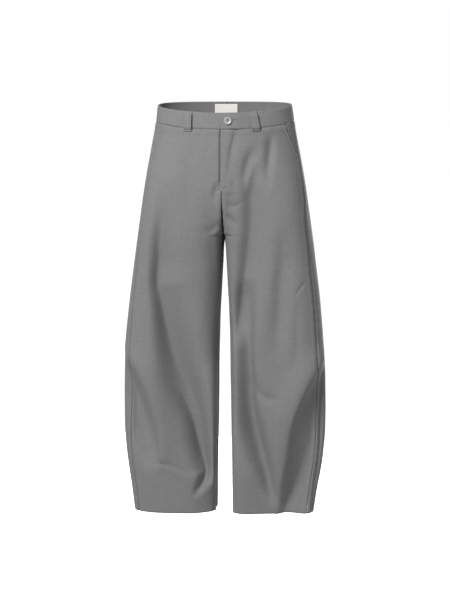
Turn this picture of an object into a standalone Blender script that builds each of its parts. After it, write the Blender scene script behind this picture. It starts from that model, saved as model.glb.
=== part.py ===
"""Barrel leg trousers, filled out as worn, as thin hollow cloth walls.

Metres, +Z up. The front faces -Y, and +X is the wearer's left. The origin is the
centre of the waistband, half way up it at the side seams.

One ring parameter, called turn, goes round each half of the garment: 0 at the centre
front (on a leg, the inseam), 1 at the outermost line of the side, 2 at the centre back
(on a leg, the inseam again). One level parameter goes down the garment, and is the
height that the ring has at the side. Every piece of cloth is a grid laid on this
surface, moved out or in, and given its thickness.
"""

import math
from collections import namedtuple

import bmesh
import bpy
from mathutils import Matrix, Vector

OBJECT_NAME = "barrel_leg_trousers"

# Cloth
WALL = 0.0016
BAND_WALL = 0.0024
GAP = 0.0003

# Levels, measured at the side
BAND_TOP = 0.0185
BAND_SEAM = -0.0205
FLY_END = -0.182
CROTCH = -0.296
HEM = -1.002

# The ring round the waist dips at the front and rises at the back
WAIST_TILT = 0.0145
WAIST_SAG = 0.006
LEVEL_RINGS_BELOW = -0.20

# How the two legs join: the curve under the crotch, seen from the side
CROTCH_RISE = 0.130
CROTCH_REACH = 0.11
CROTCH_CURVE = 2.8
SIDE_RISE = 0.300
SIDE_START = 0.15
SIDE_SPAN = 0.50
INSEAM_START = 0.004
TORSO_SQUARENESS = 2.2
LEG_SQUARENESS = 3.0

# Front opening: the left front laps over the right one
LAP_EDGE = -0.001
UNDERLAP_EDGE = 0.012
BAND_UNDERLAP_EDGE = 0.032
LAP_BLEND = 0.022
BAND_LAP_BLEND = 0.026
FLY_STEP = 0.006

# Slanted front pockets
MOUTH_TOP_X = 0.146
MOUTH_BOTTOM = -0.112
MOUTH_CURVE = 0.85
FACING_GAP = 0.0009
FACING_LAP = 0.09
FACING_BOTTOM = -0.124

# Belt loops: a strip sewn at both ends, standing off the band between them
LOOP_WIDTH = 0.0185
LOOP_WALL = 0.0018
LOOP_TOP = 0.0175
LOOP_BOTTOM = -0.0290
LOOP_STAND_OFF = 0.0040
LOOP_SEWN_SHARE = 0.22
BeltLoop = namedtuple("BeltLoop", "name side top_x bottom_x face")
BELT_LOOPS = (
    BeltLoop("belt_loop_front_right", -1, 0.0810, 0.0820, "front"),
    BeltLoop("belt_loop_front_left", 1, 0.0720, 0.0810, "front"),
    BeltLoop("belt_loop_back_right", -1, 0.1080, 0.1090, "back"),
    BeltLoop("belt_loop_back_left", 1, 0.1080, 0.1090, "back"),
    BeltLoop("belt_loop_centre_back", 1, 0.0, 0.0, "back"),
)

# Button, with a dished top inside a raised rim
BUTTON_RADIUS = 0.0094
BUTTON_THICKNESS = 0.0034
BUTTON_RIM = 0.0022
BUTTON_DISH = 0.0009
BUTTON_BEVEL = 0.0007
BUTTON_SIDES = 32
BUTTON_X = 0.0140
BUTTON_LEVEL = -0.0010

# Bare label inside the back of the band
LABEL_CENTRE_X = -0.004
LABEL_HALF_WIDTH = 0.0285
LABEL_TOP = 0.0125
LABEL_BOTTOM = -0.0175
LABEL_WALL = 0.0010

# Grid densities, in cells
PANEL_COLUMNS = 17
WAIST_ROWS = 7
CROTCH_ARC_ROWS = 6
LEG_ROWS = 28
BAND_COLUMNS = 28
BAND_ROWS = 3
LOOP_COLUMNS = 3
LOOP_ROWS = 12
FACING_COLUMNS = 6
FACING_ROWS = 6
LABEL_COLUMNS = 8
LABEL_ROWS = 2

# Half of the garment at each level: how far out each side reaches, where the inseam
# lies, how far the front and the back stand out, the depth at which the side lies, and
# how far the side seam sits forward of the side, as a fraction of a quarter ring.
Section = namedtuple(
    "Section", "level outer_right outer_left inner front back middle seam")
SECTIONS = (
    Section(0.0185, 0.1645, 0.1635, 0.0000, 0.090, 0.094, 0.000, 0.150),
    Section(-0.0205, 0.1692, 0.1694, 0.0000, 0.094, 0.100, 0.000, 0.150),
    Section(-0.0810, 0.1801, 0.1808, 0.0000, 0.100, 0.114, 0.002, 0.150),
    Section(-0.1670, 0.1949, 0.1966, 0.0000, 0.104, 0.128, 0.005, 0.150),
    Section(-0.2536, 0.2090, 0.2096, 0.0000, 0.101, 0.124, 0.008, 0.150),
    Section(-0.3000, 0.2157, 0.2160, 0.0006, 0.098, 0.117, 0.008, 0.150),
    Section(-0.3280, 0.2197, 0.2202, 0.0034, 0.095, 0.110, 0.007, 0.152),
    Section(-0.3660, 0.2251, 0.2247, 0.0052, 0.091, 0.103, 0.006, 0.155),
    Section(-0.4660, 0.2382, 0.2370, 0.0103, 0.086, 0.094, 0.004, 0.160),
    Section(-0.5680, 0.2496, 0.2468, 0.0143, 0.083, 0.089, 0.003, 0.170),
    Section(-0.6700, 0.2546, 0.2531, 0.0165, 0.079, 0.085, 0.003, 0.180),
    Section(-0.7860, 0.2546, 0.2535, 0.0178, 0.072, 0.078, 0.003, 0.180),
    Section(-0.8640, 0.2488, 0.2478, 0.0195, 0.067, 0.073, 0.003, 0.180),
    Section(-0.9430, 0.2384, 0.2346, 0.0203, 0.061, 0.067, 0.003, 0.180),
    Section(-1.0020, 0.2315, 0.2265, 0.0210, 0.056, 0.062, 0.003, 0.180),
)

# The largest folds. Each is a curve through three points (distance from the centre
# plane, height); depth is along the outward normal, so a valley is negative.
Fold = namedtuple("Fold", "name side face start through end depth width")
FOLDS = (
    Fold("barrel_ridge_right", -1, "front",
         (0.240, -0.594), (0.176, -0.710), (0.166, -0.890), 0.0085, 0.026),
    Fold("barrel_trough_right", -1, "front",
         (0.250, -0.632), (0.206, -0.735), (0.192, -0.900), -0.0110, 0.024),
    Fold("barrel_ridge_left", 1, "front",
         (0.240, -0.606), (0.176, -0.740), (0.122, -0.960), 0.0085, 0.026),
    Fold("barrel_trough_left", 1, "front",
         (0.250, -0.650), (0.206, -0.755), (0.160, -0.960), -0.0120, 0.026),
    Fold("barrel_ridge_right", -1, "back",
         (0.240, -0.590), (0.172, -0.725), (0.150, -0.930), 0.0080, 0.028),
    Fold("barrel_trough_right", -1, "back",
         (0.250, -0.635), (0.206, -0.740), (0.184, -0.935), -0.0100, 0.026),
    Fold("barrel_ridge_left", 1, "back",
         (0.240, -0.600), (0.170, -0.730), (0.158, -0.910), 0.0080, 0.028),
    Fold("barrel_trough_left", 1, "back",
         (0.250, -0.645), (0.206, -0.745), (0.190, -0.935), -0.0100, 0.026),
    Fold("long_valley_right", -1, "front",
         (0.150, -0.180), (0.168, -0.310), (0.178, -0.425), -0.0080, 0.024),
    Fold("knee_valley_right", -1, "front",
         (0.170, -0.430), (0.154, -0.540), (0.122, -0.665), -0.0100, 0.024),
    Fold("shin_valley_right", -1, "front",
         (0.126, -0.645), (0.076, -0.765), (0.044, -0.900), -0.0115, 0.022),
    Fold("long_valley_left", 1, "front",
         (0.088, -0.150), (0.058, -0.300), (0.030, -0.480), -0.0095, 0.022),
    Fold("knee_valley_left", 1, "front",
         (0.070, -0.420), (0.070, -0.560), (0.090, -0.690), -0.0090, 0.024),
    Fold("shin_valley_left", 1, "front",
         (0.030, -0.675), (0.080, -0.805), (0.124, -0.945), -0.0110, 0.022),
    Fold("seat_valley_right", -1, "back",
         (0.030, -0.262), (0.075, -0.325), (0.150, -0.350), -0.0080, 0.022),
    Fold("seat_valley_left", 1, "back",
         (0.028, -0.268), (0.070, -0.322), (0.145, -0.356), -0.0080, 0.022),
    Fold("calf_valley_right", -1, "back",
         (0.140, -0.430), (0.100, -0.640), (0.080, -0.870), -0.0090, 0.024),
    Fold("calf_valley_left", 1, "back",
         (0.132, -0.445), (0.112, -0.640), (0.088, -0.890), -0.0090, 0.024),
)
FOLD_SAMPLES = 14
FOLD_TAPER = 0.20
FOLD_EDGE_FADE = 0.16

# Small steps for slopes of the surface, in level and in turn
LEVEL_STEP = 0.001
TURN_STEP = 0.004

CLOTH_COLOUR = (0.225, 0.225, 0.232, 1.0)
CLOTH_INSIDE_COLOUR = (0.200, 0.200, 0.207, 1.0)
BUTTON_COLOUR = (0.400, 0.400, 0.435, 1.0)
LABEL_COLOUR = (0.740, 0.720, 0.650, 1.0)


def clear_scene():
    """Remove every object that the file holds."""
    for item in list(bpy.data.objects):
        bpy.data.objects.remove(item, do_unlink=True)


def new_material(name, colour, roughness):
    """A matt material with the colour of one kind of piece."""
    material = bpy.data.materials.new(name)
    material.use_nodes = True
    shader = material.node_tree.nodes["Principled BSDF"]
    shader.inputs["Base Color"].default_value = colour
    shader.inputs["Roughness"].default_value = roughness
    shader.inputs["Metallic"].default_value = 0.0
    material.diffuse_color = colour
    return material


def smooth_step(value):
    """0 below 0, 1 above 1, and an even ease between them."""
    value = min(max(value, 0.0), 1.0)
    return value ** 3 * (value * (6.0 * value - 15.0) + 10.0)


def section_at(level):
    """The section at a level, on smooth curves through the table's rows."""
    level = min(max(level, SECTIONS[-1].level), SECTIONS[0].level)
    index = 0
    while index < len(SECTIONS) - 2 and SECTIONS[index + 1].level > level:
        index += 1
    upper = SECTIONS[index]
    lower = SECTIONS[index + 1]
    before = SECTIONS[max(index - 1, 0)]
    after = SECTIONS[min(index + 2, len(SECTIONS) - 1)]
    span = lower.level - upper.level
    part = (level - upper.level) / span
    values = [level]
    for column in range(1, len(Section._fields)):
        start_slope = (lower[column] - before[column]) / (lower.level - before.level)
        end_slope = (after[column] - upper[column]) / (after.level - upper.level)
        values.append(
            (2 * part ** 3 - 3 * part ** 2 + 1) * upper[column]
            + (part ** 3 - 2 * part ** 2 + part) * span * start_slope
            + (3 * part ** 2 - 2 * part ** 3) * lower[column]
            + (part ** 3 - part ** 2) * span * end_slope)
    return Section(*values)


def outer_reach(side, section):
    """How far out one side reaches from the centre plane."""
    return section.outer_left if side > 0 else section.outer_right


def inner_reach(level, section):
    """How far the inner edge lies from the centre plane."""
    if level >= CROTCH:
        return GAP / 2
    opened = min((CROTCH - level) / INSEAM_START, 1.0)
    return GAP / 2 + opened * (section.inner - GAP / 2)


def width_power(level):
    """Spacing round the ring: 1 on the single torso ring, 2 on a leg's own ring."""
    return 1.0 + smooth_step((CROTCH + CROTCH_RISE - level) / CROTCH_RISE)


def seam_turn(level):
    """Where the side seam lies round the ring."""
    return 1.0 - section_at(level).seam


def turn_at_x(side, distance, level):
    """The turn on the front where the surface is so far from the centre plane."""
    section = section_at(level)
    inner = inner_reach(level, section)
    reach = (distance - inner) / (outer_reach(side, section) - inner)
    angle = math.asin(min(abs(reach), 1.0) ** (1.0 / width_power(level)))
    return math.copysign(angle * 2.0 / math.pi, reach)


def base_point(side, turn, level):
    """A point of the smooth surface, without folds.

    Above the crotch the ring runs on past the centre plane into the other half.
    Below it, a leg's ring closes on itself.
    """
    mirrored = 1.0
    if level > CROTCH:
        if turn < 0.0:
            turn = -turn
            mirrored = -1.0
        elif turn > 2.0:
            turn = 4.0 - turn
            mirrored = -1.0
    else:
        turn = turn % 2.0
    section = section_at(level)
    facing_back = turn > 1.0
    quarter = 2.0 - turn if facing_back else turn
    sine = max(math.sin(math.pi * quarter / 2.0), 0.0)
    across = sine ** width_power(level)
    inner = inner_reach(level, section)
    x = inner + (outer_reach(side, section) - inner) * across

    leg_bulge = (1.0 - abs(2.0 * across - 1.0) ** LEG_SQUARENESS)
    leg_bulge = max(leg_bulge, 0.0) ** (1.0 / LEG_SQUARENESS)
    torso_bulge = max(1.0 - across ** TORSO_SQUARENESS, 0.0) ** (1.0 / TORSO_SQUARENESS)
    sideways = smooth_step((across - SIDE_START) / SIDE_SPAN)
    rise = (level - CROTCH) / (CROTCH_RISE + (SIDE_RISE - CROTCH_RISE) * sideways)
    rise = min(max(rise, 0.0), 1.0)
    centre_share = math.exp(-(across / CROTCH_REACH) ** 2)
    joined = (centre_share * math.sqrt(1.0 - (1.0 - rise) ** CROTCH_CURVE)
              + (1.0 - centre_share) * smooth_step(rise))
    bulge = joined * torso_bulge + (1.0 - joined) * leg_bulge
    if facing_back:
        y = section.middle + (section.back - section.middle) * bulge
    else:
        y = section.middle - (section.front + section.middle) * bulge

    way = -math.cos(math.pi * turn / 2.0)
    tilt = WAIST_TILT * way - WAIST_SAG * way * way
    tilt *= smooth_step((level - LEVEL_RINGS_BELOW) / (BAND_SEAM - LEVEL_RINGS_BELOW))
    return Vector((side * mirrored * x, y, level + tilt))


def base_normal(side, turn, level):
    """The outward unit normal of the smooth surface."""
    upper = level + LEVEL_STEP
    lower = level - LEVEL_STEP
    if level > CROTCH:
        lower = max(lower, CROTCH + LEVEL_STEP / 100)
    else:
        upper = min(upper, CROTCH)
    along = base_point(side, turn + TURN_STEP, level) - base_point(side, turn - TURN_STEP, level)
    down = base_point(side, turn, lower) - base_point(side, turn, upper)
    return (down.cross(along) * side).normalized()


def fold_curve(fold):
    """Points along a fold, on a smooth curve through its three given points."""
    start = Vector(fold.start)
    end = Vector(fold.end)
    control = Vector(fold.through) * 2.0 - (start + end) / 2.0
    points = []
    for step in range(FOLD_SAMPLES + 1):
        part = step / FOLD_SAMPLES
        points.append(start * (1 - part) ** 2 + control * 2 * part * (1 - part)
                      + end * part ** 2)
    return points


FOLD_CURVES = tuple(fold_curve(fold) for fold in FOLDS)


def fold_height(side, turn, point):
    """How far the folds lift the cloth off the smooth surface at a point."""
    if turn < 0.0 or turn > 2.0:
        return 0.0
    face = "back" if turn > 1.0 else "front"
    spot = Vector((abs(point.x), point.z))
    height = 0.0
    for fold, curve in zip(FOLDS, FOLD_CURVES):
        if fold.side != side or fold.face != face:
            continue
        nearest = math.inf
        place = 0.0
        for step in range(FOLD_SAMPLES):
            run = curve[step + 1] - curve[step]
            part = min(max((spot - curve[step]).dot(run) / run.length_squared, 0.0), 1.0)
            distance = (spot - curve[step] - run * part).length
            if distance < nearest:
                nearest = distance
                place = (step + part) / FOLD_SAMPLES
        taper = smooth_step(place / FOLD_TAPER) * smooth_step((1.0 - place) / FOLD_TAPER)
        height += fold.depth * taper * math.exp(-(nearest / fold.width) ** 2)
    to_edge = min(abs(turn - 1.0), turn, 2.0 - turn)
    return height * smooth_step(to_edge / FOLD_EDGE_FADE)


def cloth_point(side, turn, level, lift):
    """The outer surface of a piece, raised by lift, and its outward normal there."""
    normal = base_normal(side, turn, level)
    point = base_point(side, turn, level)
    point += normal * (lift + fold_height(side, turn, point))
    return point, normal


def edge_turn(side, turn, level, distance):
    """The turn that lies a short distance further round the ring."""
    ahead = base_point(side, turn + TURN_STEP, level)
    return turn + distance * TURN_STEP / (ahead - base_point(side, turn, level)).length


def lap_lift(side, x, underlap_edge, blend, lift):
    """How far the upper layer at the front opening stands off the lower one."""
    if side < 0:
        return 0.0
    return lift * smooth_step((underlap_edge + blend - x) / blend)


def lap_stations(side, level, underlap_edge, count):
    """Turns across the lapped cloth, at the same places on both layers."""
    turns = []
    for number in range(count):
        x = LAP_EDGE + (underlap_edge - LAP_EDGE) * number / (count - 1)
        turns.append(turn_at_x(side, side * x, level))
    return sorted(turns)


def spread_turns(first_turns, last, columns):
    """The first turns as given, and the rest evenly spaced up to the last."""
    start = first_turns[-1]
    rest = columns + 1 - len(first_turns)
    return first_turns + [start + (last - start) * (step + 1) / rest for step in range(rest)]


def front_turns(side, level):
    """The columns of a front panel at one level."""
    last = front_outer_turn(side, level)
    if level >= FLY_END - FLY_STEP / 2:
        return spread_turns(lap_stations(side, level, UNDERLAP_EDGE, 2), last, PANEL_COLUMNS)
    first = edge_turn(side, 0.0, level, GAP / 2) if level <= CROTCH else 0.0
    return spread_turns([first], last, PANEL_COLUMNS)


def front_outer_turn(side, level):
    """Where a front panel ends: the slanted pocket mouth or the side seam."""
    seam = edge_turn(side, seam_turn(level), level, -GAP / 2)
    if level <= MOUTH_BOTTOM:
        return seam
    share = (level - MOUTH_BOTTOM) / (BAND_SEAM - MOUTH_BOTTOM)
    top = turn_at_x(side, MOUTH_TOP_X, BAND_SEAM)
    return seam + (top - seam) * min(share, 1.0) ** MOUTH_CURVE


def panel_levels():
    """The rows of a panel from the waist seam to the hem, close together at the crotch."""
    top = BAND_SEAM - GAP / 2
    levels = [top + (FLY_END - top) * row / WAIST_ROWS for row in range(WAIST_ROWS + 1)]
    levels += [FLY_END - FLY_STEP, FLY_END - 2 * FLY_STEP]
    for row in range(CROTCH_ARC_ROWS, -1, -1):
        angle = math.radians(80.0) * row / CROTCH_ARC_ROWS
        levels.append(CROTCH + CROTCH_RISE * (1.0 - math.cos(angle)))
    below = CROTCH - INSEAM_START
    levels += [below + (HEM - below) * row / LEG_ROWS for row in range(LEG_ROWS + 1)]
    return sorted(set(levels), reverse=True)


def build_cloth(name, columns, rows, wall, place, material, collection):
    """Lay a grid on a surface, thicken it inward and close its edges.

    place(across, row) gives the outer point and the normal for a place across the
    piece (0 to 1) and a row number counted from the top.
    """
    mesh = bmesh.new()
    bmesh.ops.create_grid(mesh, x_segments=columns, y_segments=rows, size=0.5)
    bmesh.ops.triangulate(mesh, faces=mesh.faces[:], quad_method="FIXED")
    thickened = bmesh.ops.extrude_face_region(mesh, geom=mesh.faces[:], use_keep_orig=True)
    inner = [item for item in thickened["geom"] if isinstance(item, bmesh.types.BMVert)]
    bmesh.ops.translate(mesh, verts=inner, vec=(0.0, 0.0, -1.0))
    bmesh.ops.recalc_face_normals(mesh, faces=mesh.faces[:])
    for vertex in mesh.verts:
        row = round((0.5 - vertex.co.y) * rows)
        point, normal = place(vertex.co.x + 0.5, row)
        depth = wall if vertex.co.z < -0.5 else 0.0
        vertex.co = point - normal * depth
    if mesh.calc_volume(signed=True) < 0.0:
        bmesh.ops.reverse_faces(mesh, faces=mesh.faces[:])
    data = bpy.data.meshes.new(name)
    mesh.to_mesh(data)
    mesh.free()
    data.shade_smooth()
    data.set_sharp_from_angle(angle=math.radians(50.0))
    data.materials.append(material)
    piece = bpy.data.objects.new(name, data)
    collection.objects.link(piece)
    return piece


def build_front(side, name, material, collection):
    """One front, from the waist seam to the hem."""
    levels = panel_levels()

    def place(across, row):
        level = levels[row]
        turn = front_turns(side, level)[round(across * PANEL_COLUMNS)]
        lift = 0.0
        if level >= FLY_END - 1.5 * FLY_STEP:
            x = base_point(side, turn, level).x
            lift = lap_lift(side, x, UNDERLAP_EDGE, LAP_BLEND, WALL + GAP)
        return cloth_point(side, turn, level, lift)

    build_cloth(name, PANEL_COLUMNS, len(levels) - 1, WALL, place, material, collection)


def build_back(side, name, material, collection):
    """One back, from the waist seam to the hem."""
    levels = panel_levels()

    def place(across, row):
        level = levels[row]
        first = edge_turn(side, seam_turn(level), level, GAP / 2)
        last = 2.0
        if level <= CROTCH:
            last = edge_turn(side, 2.0, level, -GAP / 2)
        return cloth_point(side, first + (last - first) * across, level, 0.0)

    build_cloth(name, PANEL_COLUMNS, len(levels) - 1, WALL, place, material, collection)


def build_pocket_facing(side, name, material, collection):
    """The piece of cloth that shows behind a slanted pocket mouth."""
    top = BAND_SEAM - GAP / 2

    def place(across, row):
        level = top + (FACING_BOTTOM - top) * row / FACING_ROWS
        last = edge_turn(side, seam_turn(level), level, -GAP / 2)
        first = front_outer_turn(side, level) - FACING_LAP
        return cloth_point(side, first + (last - first) * across, level, -WALL - FACING_GAP)

    build_cloth(name, FACING_COLUMNS, FACING_ROWS, WALL, place, material, collection)


def band_lift(side, turn, level):
    """How far the band stands out where it laps over its other half."""
    if turn > 1.0:
        return 0.0
    x = base_point(side, turn, level).x
    return lap_lift(side, x, BAND_UNDERLAP_EDGE, BAND_LAP_BLEND, BAND_WALL + GAP)


def build_waistband(side, name, material, collection):
    """Half of the waistband, from the front opening to the centre back."""
    bottom = BAND_SEAM + GAP / 2

    def place(across, row):
        level = BAND_TOP + (bottom - BAND_TOP) * row / BAND_ROWS
        first_turns = lap_stations(side, level, BAND_UNDERLAP_EDGE, 3)
        turn = spread_turns(first_turns, 2.0, BAND_COLUMNS)[round(across * BAND_COLUMNS)]
        return cloth_point(side, turn, level, band_lift(side, turn, level))

    build_cloth(name, BAND_COLUMNS, BAND_ROWS, BAND_WALL, place, material, collection)


def build_belt_loop(loop, material, collection):
    """A strip of cloth sewn above and below the band, with room for a belt."""

    def place(across, row):
        part = row / LOOP_ROWS
        level = LOOP_TOP + (LOOP_BOTTOM - LOOP_TOP) * part
        distance = loop.top_x + (loop.bottom_x - loop.top_x) * part
        distance += (across - 0.5) * LOOP_WIDTH
        turn = turn_at_x(loop.side, distance, level)
        if loop.face == "back":
            turn = 2.0 - turn
        stand_off = LOOP_STAND_OFF * smooth_step(min(part, 1.0 - part) / LOOP_SEWN_SHARE)
        lift = band_lift(loop.side, turn, level) + GAP + LOOP_WALL + stand_off
        return cloth_point(loop.side, turn, level, lift)

    build_cloth(loop.name, LOOP_COLUMNS, LOOP_ROWS, LOOP_WALL, place, material, collection)


def build_label(material, collection):
    """A bare woven label on the inside of the back of the band."""

    def place(across, row):
        level = LABEL_TOP + (LABEL_BOTTOM - LABEL_TOP) * row / LABEL_ROWS
        distance = LABEL_CENTRE_X + LABEL_HALF_WIDTH * (2.0 * across - 1.0)
        turn = 2.0 - turn_at_x(1, distance, level)
        return cloth_point(1, turn, level, -BAND_WALL - GAP)

    build_cloth("label", LABEL_COLUMNS, LABEL_ROWS, LABEL_WALL, place, material, collection)


def build_button(material, collection):
    """A round button with a raised rim, on the outer layer of the band."""
    turn = turn_at_x(1, BUTTON_X, BUTTON_LEVEL)
    lift = band_lift(1, turn, BUTTON_LEVEL) + GAP
    seat, normal = cloth_point(1, turn, BUTTON_LEVEL, lift)

    mesh = bmesh.new()
    bmesh.ops.create_cone(
        mesh, cap_ends=True, segments=BUTTON_SIDES,
        radius1=BUTTON_RADIUS, radius2=BUTTON_RADIUS, depth=BUTTON_THICKNESS)
    top = max(mesh.faces, key=lambda face: face.calc_center_median().z)
    bmesh.ops.inset_individual(mesh, faces=[top], thickness=BUTTON_RIM)
    bmesh.ops.translate(mesh, verts=top.verts[:], vec=(0.0, 0.0, -BUTTON_DISH))
    corners = [edge for edge in mesh.edges
               if edge.is_manifold and edge.calc_face_angle() > math.radians(60.0)]
    bmesh.ops.bevel(mesh, geom=corners, offset=BUTTON_BEVEL, offset_type="OFFSET",
                    segments=2, profile=0.5, affect="EDGES", material=-1)
    data = bpy.data.meshes.new("button")
    mesh.to_mesh(data)
    mesh.free()
    data.shade_smooth()
    data.set_sharp_from_angle(angle=math.radians(40.0))
    data.materials.append(material)
    button = bpy.data.objects.new("button", data)
    turned = normal.to_track_quat("Z", "Y").to_matrix().to_4x4()
    centre = seat + normal * BUTTON_THICKNESS / 2
    button.matrix_world = Matrix.Translation(centre) @ turned
    collection.objects.link(button)


def build_trousers():
    """Make every piece of the garment in one collection."""
    collection = bpy.data.collections.new(OBJECT_NAME)
    bpy.context.scene.collection.children.link(collection)
    cloth = new_material("wool_blend_cloth", CLOTH_COLOUR, 0.9)
    inside = new_material("pocket_facing_cloth", CLOTH_INSIDE_COLOUR, 0.9)
    for side, word in ((-1, "right"), (1, "left")):
        build_front(side, "front_" + word, cloth, collection)
        build_back(side, "back_" + word, cloth, collection)
        build_pocket_facing(side, "pocket_facing_" + word, inside, collection)
        build_waistband(side, "waistband_" + word, cloth, collection)
    for loop in BELT_LOOPS:
        build_belt_loop(loop, cloth, collection)
    build_label(new_material("label_tape", LABEL_COLOUR, 0.7), collection)
    build_button(new_material("button_resin", BUTTON_COLOUR, 0.35), collection)


clear_scene()
build_trousers()
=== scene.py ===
"""Barrel leg trousers in grey suiting, filled out as worn, in a pale studio.

The cloth hangs on the same smooth form as the trousers' solids. A ring parameter,
called turn, runs round each half of the garment: 0 at the centre front or the inseam,
1 at the side, 2 at the centre back or the inseam again. A level runs down it and is
the height that the ring has at the side. Each piece is a fine grid on that form, with
its creases, seams and turned edges raised or sunk along the outward normal.
"""

import logging
import math
from dataclasses import dataclass, field
from enum import Enum

import bmesh
import bpy
import numpy as np
from mathutils import Matrix, Vector, noise


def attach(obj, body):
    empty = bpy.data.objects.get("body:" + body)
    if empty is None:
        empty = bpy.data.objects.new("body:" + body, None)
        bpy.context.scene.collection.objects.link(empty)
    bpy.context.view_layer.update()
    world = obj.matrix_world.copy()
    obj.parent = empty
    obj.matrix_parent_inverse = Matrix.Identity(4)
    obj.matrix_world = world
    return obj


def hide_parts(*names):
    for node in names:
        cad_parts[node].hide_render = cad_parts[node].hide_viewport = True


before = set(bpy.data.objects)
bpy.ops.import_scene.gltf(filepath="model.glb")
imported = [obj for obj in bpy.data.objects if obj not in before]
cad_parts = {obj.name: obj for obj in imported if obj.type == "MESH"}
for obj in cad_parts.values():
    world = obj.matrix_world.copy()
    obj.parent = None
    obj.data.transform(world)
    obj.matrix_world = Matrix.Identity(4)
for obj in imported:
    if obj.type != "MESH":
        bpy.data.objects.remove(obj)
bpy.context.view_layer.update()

LOG = logging.getLogger("trousers")
ROOT = "root"

MILLIMETRE = 0.001
WALL = 0.0016
BAND_WALL = 0.0024
GAP = 0.0003
BAND_TOP = 0.0185
BAND_SEAM = -0.0205
FLY_END = -0.182
CROTCH = -0.296
HEM = -1.002
LEFT = 1
RIGHT = -1
SIDE_WORDS = {RIGHT: "right", LEFT: "left"}
UV_NAME = "cloth_metres"
EDGE_ANGLE = math.radians(60.0)


class Face(Enum):
    """Which half of a ring a crease lies on."""

    FRONT = "front"
    BACK = "back"


class Held(Enum):
    """How a sheet of cloth is held."""

    HUNG = "hung"
    FOLDED = "folded"
    LAID = "laid"


def smooth_step(value: np.ndarray | float) -> np.ndarray | float:
    """An even ease from 0 to 1.

    Args:
        value: below 0 it gives 0, and above 1 it gives 1.

    Returns:
        The eased value.
    """
    value = np.clip(value, 0.0, 1.0)
    return value ** 3 * (value * (6.0 * value - 15.0) + 10.0)


@dataclass(frozen=True)
class Section:
    """One level of half the garment, in metres from the centre plane.

    seam is how far the side seam lies forward of the side, as a fraction of a
    quarter ring.
    """

    level: float
    outer_right: float
    outer_left: float
    inner: float
    front: float
    back: float
    middle: float
    seam: float


SECTIONS = (
    Section(0.0185, 0.1645, 0.1635, 0.0000, 0.090, 0.094, 0.000, 0.150),
    Section(-0.0205, 0.1692, 0.1694, 0.0000, 0.094, 0.100, 0.000, 0.150),
    Section(-0.0810, 0.1801, 0.1808, 0.0000, 0.100, 0.114, 0.002, 0.150),
    Section(-0.1670, 0.1949, 0.1966, 0.0000, 0.104, 0.128, 0.005, 0.150),
    Section(-0.2536, 0.2090, 0.2096, 0.0000, 0.101, 0.124, 0.008, 0.150),
    Section(-0.3000, 0.2157, 0.2160, 0.0006, 0.098, 0.117, 0.008, 0.150),
    Section(-0.3280, 0.2197, 0.2202, 0.0034, 0.095, 0.110, 0.007, 0.152),
    Section(-0.3660, 0.2251, 0.2247, 0.0052, 0.091, 0.103, 0.006, 0.155),
    Section(-0.4660, 0.2382, 0.2370, 0.0103, 0.086, 0.094, 0.004, 0.160),
    Section(-0.5680, 0.2496, 0.2468, 0.0143, 0.083, 0.089, 0.003, 0.170),
    Section(-0.6700, 0.2546, 0.2531, 0.0165, 0.079, 0.085, 0.003, 0.180),
    Section(-0.7860, 0.2546, 0.2535, 0.0178, 0.072, 0.078, 0.003, 0.180),
    Section(-0.8640, 0.2488, 0.2478, 0.0195, 0.067, 0.073, 0.003, 0.180),
    Section(-0.9430, 0.2384, 0.2346, 0.0203, 0.061, 0.067, 0.003, 0.180),
    Section(-1.0020, 0.2315, 0.2265, 0.0210, 0.056, 0.062, 0.003, 0.180),
)


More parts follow.
